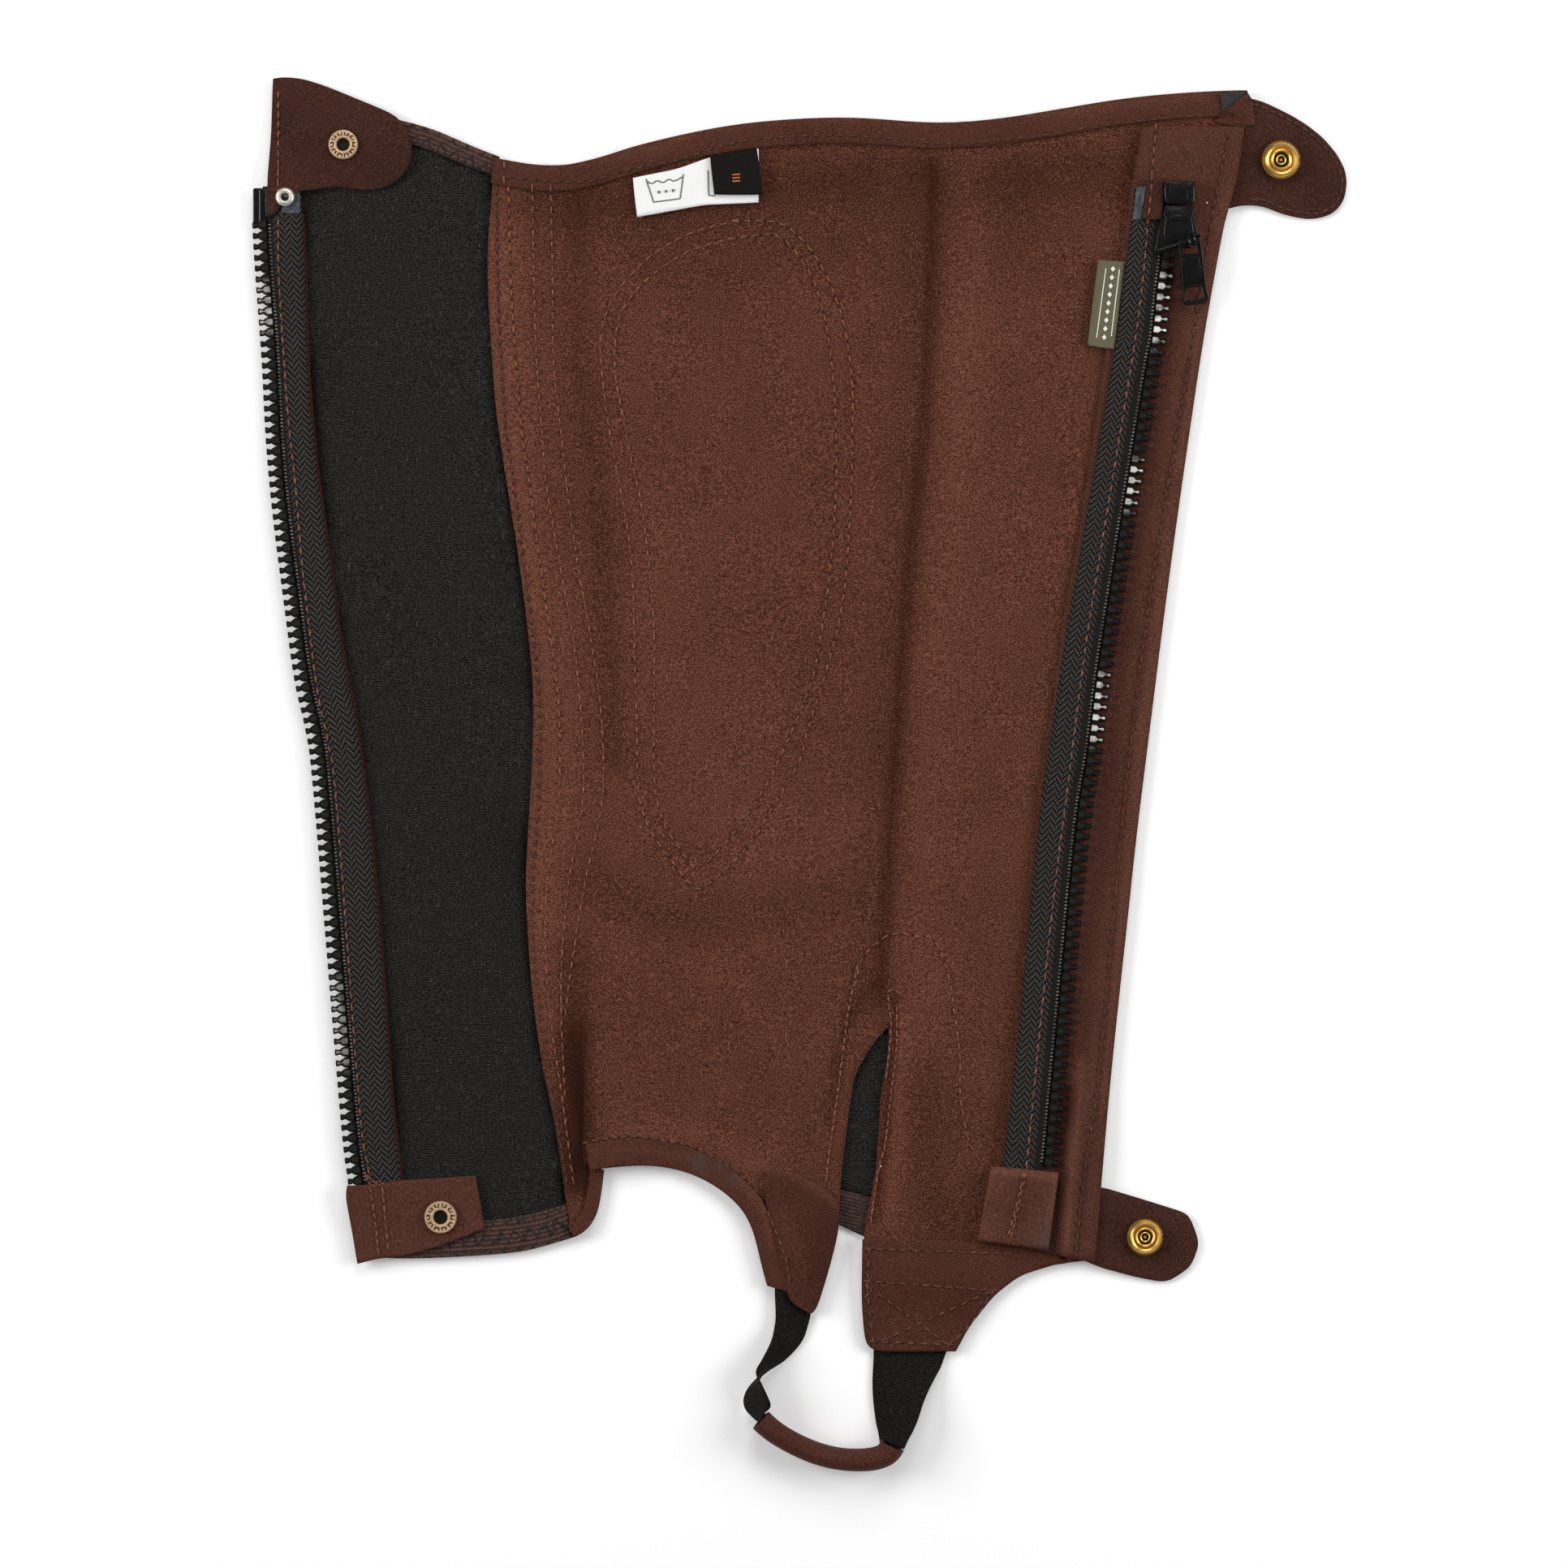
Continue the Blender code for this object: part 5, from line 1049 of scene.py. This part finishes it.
def laidFlat(outline, thickness, lift=0.15):  # a patch draped on the cloth below it
    cutStep = 1.5  # so that it bends
    tool = bmesh.new()
    tool.from_mesh(plate(outline, 0, thickness, 0.1))
    for axis in (0, 1):
        spots = [v.co[axis] / mm for v in tool.verts]
        for cut in np.arange(min(spots) + cutStep, max(spots), cutStep):
            spot, normal = [0, 0, 0], [0, 0, 0]
            spot[axis], normal[axis] = cut * mm, 1
            everything = tool.verts[:] + tool.edges[:] + tool.faces[:]
            bmesh.ops.bisect_plane(tool, geom=everything, plane_co=spot, plane_no=normal, dist=1e-6)
    for vertex in tool.verts:
        vertex.co.z += (onTop(vertex.co.x / mm, vertex.co.y / mm)[0] + lift) * mm
    return shaded(fromTool(tool, "laid flat"), 50)


def circle(x, y, radius, count=24, z=None):
    turns = np.linspace(0, 2 * math.pi, count, endpoint=False)
    return [(x + radius * math.cos(t), y + radius * math.sin(t)) + (() if z is None else (z,)) for t in turns]


# Retainer box, slider and insertion pin. Outlines in mm, heights from the CAD pieces

def cornersOf(node):  # low and high, in mm
    return [Vector(corner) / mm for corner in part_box(node)]


low, high = cornersOf("zip_box")
retainer = dict(
    body=dict(low=low.z, high=high.z - 0.7, edge=0.7, outline=[
        (134.6, 218.2), (144.9, 217.9), (145.6, 217.2), (145.4, 210.2), (144.7, 209.5), (134.9, 209.7),
        (134.2, 210.4), (134, 217.5)]),
    face=dict(low=high.z - 1.6, high=high.z, edge=0.35, outline=[
        (135.9, 217.6), (142.6, 217.4), (142.9, 210.5), (136, 210.6)]),
)
lip = dict(ends=[(135.9, 209.9), (143.6, 209.8)], drop=1.2, radius=0.22)
lipMesh = tube([(x, y, high.z - lip["drop"]) for x, y in lip["ends"]], lip["radius"])
retainerMeshes = [plate(**layer) for layer in retainer.values()] + [lipMesh]
addPiece("retainerBox", onePiece(retainerMeshes), "moulded", "zip_box")

foot = cornersOf("slider")[0].z
top = foot + 5.2
slider = dict(
    foot=dict(low=foot, high=foot + 2.2, edge=0.4, outline=[
        (135.6, 208.6), (144.6, 208.8), (146, 203), (146.4, 196.8), (143, 193.6), (136.6, 193.8),
        (135.2, 199)]),
    plate=dict(low=foot + 2.0, high=top - 0.8, edge=0.6, outline=[
        (134.5, 209.3), (144.7, 209.1), (145.1, 206.9), (145.8, 203.4), (146.7, 199.6), (146.9, 196.4),
        (144.4, 194.6), (142, 194.4), (138.6, 193.4), (131.8, 191.3), (130.5, 191.8), (131, 195.2),
        (131.9, 199.6), (132.6, 203.2), (133.6, 204.6), (133.9, 206.6)]),
    crown=dict(low=top - 1.8, high=top, edge=0.5, outline=[
        (135, 208.4), (143.9, 208.2), (144.7, 203), (145.4, 198.4), (141.2, 196.4), (134.4, 195.2),
        (133.9, 199.8), (134.6, 204.2)]),
    ridge=dict(low=top - 0.4, high=top + 0.35, edge=0.25, outline=[
        (136.6, 205.4), (143, 205.6), (143.4, 203.6), (136.9, 203.3)]),
    pivot=dict(low=top - 1.6, high=top + 0.5, edge=0.3, outline=circle(146.2, 197.4, 1.5, 20),
               holes=[circle(146.2, 197.4, 0.6, 12)]),
)
sliderLip = [(131.8, 192.6, top - 1), (138.8, 194.6, top - 0.6), (144, 196.2, top - 0.4)]
hinge = Vector((143.1, 195.6, 12.7))
lean, droop = math.radians(7.4), math.radians(14)
acrossPull = Vector((math.cos(lean), math.sin(lean), 0))
alongPull = Vector((-math.sin(lean), math.cos(lean), 0))


def arch(middle, radius, beyond):  # points of a half ring over the pull's bar, running on at both ends
    other = acrossPull.cross(Vector((0, 0, 1))).normalized()
    return [tuple(middle + other * radius * math.cos(t) + Vector((0, 0, radius * math.sin(t))))
            for t in np.linspace(-beyond, math.pi + beyond, 20)]


bridges = [  # middle, radius and how far their ends run on, in radians; thickness
    (arch(hinge, 2.1, 0.5), 0.62),
    (arch(hinge + acrossPull * 1.9 + alongPull * 0.7, 2.0, 0.4), 0.5),
]
sliderMeshes = [plate(**layer) for layer in slider.values()]
sliderMeshes += [tube(line, radius) for line, radius in bridges + [(sliderLip, 0.35)]]
addPiece("sliderBody", onePiece(sliderMeshes), "moulded", "slider")

low, high = cornersOf("zip_pin")
pinOutline = [
    (low.x, high.y - 0.6), (low.x + 0.5, high.y), (high.x + 1.0, high.y), (high.x + 1.0, low.y),
    (low.x + 0.4, low.y), (low.x, low.y + 0.5),
]
addPiece("insertionPin", onePiece([
    plate(pinOutline, low.z, high.z, 0.45),
    tube([(low.x + 2.6, high.y - 0.8, high.z - 0.1), (low.x + 2.6, low.y + 0.8, high.z - 0.1)], 0.4),
]), "moulded", "zip_pin")

# Pull, in its own axes: x across, y away from the hinge bar, then drooped and leaned into place
pullStretch = 1.075  # the pull in the photograph is a little longer
pullRight = [(4, 1.1), (4.3, -1), (4.45, -17), (4.9, -20.4), (3.8, -21.8)]
pullOutline = pullRight + [(-x, y) for x, y in pullRight[::-1]]
pullWindow = [(-2.6, -4.2), (2.9, -4.2), (2.9, -0.9), (-2.6, -0.9)]
pullSlot = [
    (-3.1, -16.2), (-3.4, -19.7), (-2.9, -20.2), (2.9, -20.2), (3.5, -19.7), (3.4, -16.3), (3, -15.8),
    (-2.6, -15.8),
]
rimInner = [(x * 0.84, -10.4 + (y + 10.4) * 0.93) for x, y in pullOutline[::-1]]
pull = dict(
    body=dict(low=-0.75, high=0.55, edge=0.3, outline=pullOutline, holes=[pullWindow, pullSlot]),
    rim=dict(low=0.1, high=0.95, edge=0.22, outline=pullOutline, holes=[rimInner]),
    panel=dict(low=0.1, high=0.85, edge=0.3, outline=[
        (-3.2, -5.2), (3.2, -5.2), (3.25, -14.6), (-3.25, -14.6)]),
)
bars = [([(-2.9, -15, 0.7), (3, -15, 0.7)], 0.28), ([(-4.2, 0.1, 0), (4.2, 0.1, 0)], 0.95)]
pullMesh = onePiece(
    [plate(**layer) for layer in pull.values()] + [tube(line, radius) for line, radius in bars]
)
for vertex in pullMesh.vertices:
    x, y, z = vertex.co / mm
    y *= pullStretch
    along, up = y * math.cos(droop) - z * math.sin(droop), y * math.sin(droop) + z * math.cos(droop)
    vertex.co = (hinge + acrossPull * x + alongPull * along + Vector((0, 0, up))) * mm
addPiece("pullTab", pullMesh, "moulded", "pull_tab", "pull")
print("zip hardware done")


# Snaps and rivet, turned on their own centres. Profiles: radius and height as shares of the whole
profiles = {
    "stud": [
        (0.44, 0), (0.44, 0.75), (0.5, 0.98), (0.57, 1), (0.62, 0.78), (0.66, 0.6), (0.84, 0.58),
        (0.88, 0.76), (0.93, 0.74), (0.98, 0.5), (1, 0.25), (0.98, 0)],
    "socket": [
        (0.4, 0), (0.4, 0.62), (0.43, 0.82), (0.5, 0.9), (0.55, 0.86), (0.58, 0.7), (0.6, 0.62), (0.63, 0.7),
        (0.68, 0.9), (0.78, 0.98), (0.89, 0.84), (0.97, 0.5), (1, 0.22), (0.97, 0)],
    "rivet": [
        (0.42, 0), (0.42, 0.6), (0.5, 0.92), (0.6, 1), (0.78, 0.94), (0.92, 0.62), (1, 0.25), (0.97, 0)],
}
snaps = {
    "studTop": dict(node="stud_top", finish="antiqueBrass", radius=5.5, height=1.9, marks=11),
    "studBottom": dict(node="stud_bottom", finish="antiqueBrass", radius=6.0, height=1.9, marks=11),
    "socketTop": dict(node="socket_top", finish="brightBrass", radius=6.9, height=3.2, knurls=60),
    "socketBottom": dict(node="socket_bottom", finish="brightBrass", radius=6.5, height=3.2, knurls=56),
    "rivetRing": dict(node="rivet", finish="silver", radius=3.45, height=1.1),
}
curl = smallShape("curl", *joined(
    block([(-0.7, -0.55), (-0.4, -0.55), (-0.4, 0.5), (-0.7, 0.5)], 0, 0.25, 0.05),
    block([(-0.7, 0.25), (0.7, 0.25), (0.7, 0.55), (-0.7, 0.55)], 0, 0.25, 0.05),
    block([(0.4, -0.55), (0.7, -0.55), (0.7, 0.5), (0.4, 0.5)], 0, 0.25, 0.05),
))
knurl = smallShape("knurl", *block([(-0.14, -0.5), (0.14, -0.5), (0.14, 0.5), (-0.14, 0.5)], 0, 0.3, 0.06))


def turnedMesh(profile, radius, height, x, y, base, turns=48):
    count = len(profile)
    points, faces = [], []
    for t in range(turns):
        a = 2 * math.pi * t / turns
        out = Vector((math.cos(a), math.sin(a), 0)) * radius
        points += [(Vector((x, y, base + z * height)) + out * q) * mm for q, z in profile]
        for k in range(count):
            n, after = (t + 1) % turns, (k + 1) % count
            faces.append((t * count + k, t * count + after, n * count + after, n * count + k))
    mesh = bpy.data.meshes.new("turned")
    mesh.from_pydata(points, [], faces)
    return mesh


spring = dict(radius=1.65, height=1.35, wire=0.36)  # in a socket, round its pin, in mm
pin = dict(low=0.4, high=1.2, radius=0.6)
collars = {  # small shapes in a ring. Where: shares of the snap's radius and height
    "marks": dict(
        shape=curl, out=0.75, up=0.58, corners=60,
        looks=dict(finish="teeth", wander=(0.1, 0.1, 0.5), seed=4, scale=(1.25, 1.25, 1.0))),
    "knurls": dict(shape=knurl, out=0.965, up=0.42, corners=90, looks=dict(finish="brightBrass")),
}
for name, snap in snaps.items():
    node, finish, radius, height = snap["node"], snap["finish"], snap["radius"], snap["height"]
    low, high = cornersOf(node)
    x, y = (low.x + high.x) / 2, (low.y + high.y) / 2
    base = low.z + settle([(x, y)])[0]
    turned = turnedMesh(profiles[node.split("_")[0]], radius, height, x, y, base)
    addPiece(name, onePiece([turned]), finish, node)
    # A black disc under the snap's centre hole: painted shade of the hole
    wellShade = tube([(x, y, base - 0.25), (x, y, base + 0.1)], radius * 0.5)
    addPiece(name + "Well", onePiece([wellShade]), "teeth")
    for kind, collar in collars.items():
        if kind in snap:
            out = radius * collar["out"]
            ring = circle(x, y, out, collar["corners"]) + [(x + out, y)]
            row(name + kind.capitalize(), [ring], collar["shape"], pitch=2 * math.pi * out / snap[kind],
                slot=node, heights=[[base + height * collar["up"]] * len(ring)], **collar["looks"])
    if "knurls" in snap:
        coil = tube(circle(x, y, spring["radius"], 20, base + spring["height"]), spring["wire"], True)
        centre = tube([(x, y, base + pin["low"]), (x, y, base + pin["high"])], pin["radius"])
        addPiece(name + "Spring", onePiece([coil, centre]), finish)
print("snaps:", len(snaps))


# Woven marks on the labels, in mm
def onLabel(line, label, radius=0.22, lift=0.12):
    path = smooth(line, 1.2)
    return tube([(x, y, onTop(x, y, [label])[0] + lift) for x, y in path], radius)


tub = [(-56.6, 219.4), (-53.8, 210.9), (-44, 212.2), (-42.8, 221.2)]
water = [
    (-56.2, 218.6), (-54.4, 217.6), (-52.5, 218.9), (-50.3, 218), (-48.2, 219.4), (-46.2, 218.6),
    (-43.2, 220.2),
]
dots = [[(x - 0.4, y), (x + 0.4, y)] for x, y in ((-51.8, 214.6), (-49.2, 214.9), (-46.6, 215.2))]
corner = [[(-33.8, 222.6), (-33.5, 213.6)], [(-33.5, 213.4), (-31, 213.2)]]
careMarks = [onLabel(line, "careLabel") for line in [*map(list, zip(tub[:-1], tub[1:])), water, *corner]]
careMarks += [onLabel(line, "careLabel", 0.5) for line in dots]
addPiece("careMarks", onePiece(careMarks), "print")
sizeMarks = [[(-24.7, 218.4 + k * 1.2), (-21.9, 218.6 + k * 1.2)] for k in range(3)]
sizeMarks = [onLabel(line, "sizeLabel", 0.28) for line in sizeMarks]
addPiece("sizeMarks", onePiece(sizeMarks), "orangeThread")
lozenge = smallShape("lozenge", *block([(-1.1, 0), (0, -0.9), (1.1, 0), (0, 0.9)], 0, 0.3, 0.1))
row("labelLozenges", [[(115.6, 186.2), (112.4, 161)]], lozenge, "whiteThread", 3.1, "side_label",
    lift=0.05, only=["sideLabel"])
labelLines = [[(113, 186.4), (109.6, 160.8)], [(118, 186), (115, 161.4)]]
labelLines = [onLabel(line, "sideLabel", 0.2) for line in labelLines]
addPiece("labelLines", onePiece(labelLines), "whiteThread")

# Film at the tape ends, the folded end of the top binding, and loose thread ends
films = {
    "filmLeft": dict(
        outline=[(-198.4, 217), (-196.4, 217.2), (-196.6, 205.6), (-198.4, 205.4)], slot="zip_tape_left"),
    "filmTab": dict(
        outline=[(-190.4, 214.8), (-184.4, 214.4), (-184.2, 206.6), (-191.2, 206.9)], slot="zip_tape_left"),
    "filmRight": dict(
        outline=[(124.2, 216), (127.2, 216.2), (125.9, 204.4), (122.8, 204.2)], slot="zip_tape_right"),
}
for name, film in films.items():
    addPiece(name, laidFlat(film["outline"], 0.5, 0.05), "film")
endPatch = [(155.1, 250.6), (165.4, 252), (166.6, 249.8), (159, 243.4), (156.2, 243.8)]
endFlap = [(157.4, 244.4), (165.7, 251.4), (167, 249.6), (168, 239.2), (160, 239), (153, 240.6)]
coverWith(addPiece("bindingEndLining", laidFlat(endPatch, 0.9), "inside"))
addPiece("bindingEndFlap", laidFlat(endFlap, 1.1), "trim")
looseEnds = {
    "bottomLeft": [(-159.6, -148), (-157.4, -150.4), (-154.8, -151.4), (-153.4, -153.4), (-153.8, -156)],
    "bottomLeftLoop": [
        (-160.4, -146.6), (-158.8, -150.8), (-156.2, -152), (-155.6, -150.2), (-153.2, -151.2)],
    "tongue": [(26.8, -185.2), (24.6, -188.8), (26.6, -190.2), (24.2, -193)],
}
ends = []
for line in looseEnds.values():
    ends.append(tube([(x, y, onTop(x, y)[0] + 0.25) for x, y in smooth(line, 0.7)], 0.22))
addPiece("looseThreadEnds", onePiece(ends), "thread")
lint = []
for x, y in ((29.7, -145.0), (150.0, 210.4)):
    z = onTop(x, y)[0]
    lint.append(tube([(x, y, z + 0.2), (x + 0.5, y + 0.4, z + 0.25)], 0.25))
addPiece("whiteLint", onePiece(lint), "whiteThread")
print("small pieces done")


# Camera, floor and light
view = dict(centre=(-5.7, -3.75), frameWidth=579.6, height=2200.0, sensor=36.0)
camera = newObject("camera", bpy.data.cameras.new("camera"))
camera.data.sensor_width = view["sensor"]
camera.data.lens = view["sensor"] * view["height"] / view["frameWidth"]
camera.location = Vector((*view["centre"], view["height"])) * mm
bpy.context.scene.camera = camera

floorHalf, floorDrop = 4, 0.0003
floorCorners = [(x * floorHalf, y * floorHalf, -floorDrop) for x, y in ((-1, -1), (1, -1), (1, 1), (-1, 1))]
floorMesh = bpy.data.meshes.new("floor")
floorMesh.from_pydata(floorCorners, [], [(0, 1, 2, 3)])
floorPaint = Paint("white floor", 0.9)
floorPaint.fix({
    "Base Color": (0.95, 0.95, 0.95, 1), "Emission Color": (1, 1, 1, 1), "Emission Strength": 0.14,
})
floorMesh.materials.append(floorPaint.material)
newObject("floor", floorMesh)

lamps = {
    "lampLeft": dict(place=(-1.25, 0.25, 0.95), size=0.8, power=14.0),
    "lampRight": dict(place=(1.25, 0.15, 0.95), size=0.8, power=12.5),
    "lampTop": dict(place=(0.1, 1.2, 1.3), size=0.9, power=9.5),
}
for name, lamp in lamps.items():
    light = bpy.data.lights.new(name, "AREA")
    light.size = lamp["size"]
    light.energy = lamp["power"]
    holder = newObject(name, light)
    holder.location = lamp["place"]
    holder.rotation_euler = (-Vector(lamp["place"])).to_track_quat("-Z", "Y").to_euler()
bpy.context.scene.view_settings.view_transform = "Standard"
world = bpy.data.worlds.new("room")
world.use_nodes = True
world.node_tree.nodes["Background"].inputs["Color"].default_value = (1, 1, 1, 1)
world.node_tree.nodes["Background"].inputs["Strength"].default_value = 0.22
bpy.context.scene.world = world

print("scene ready")
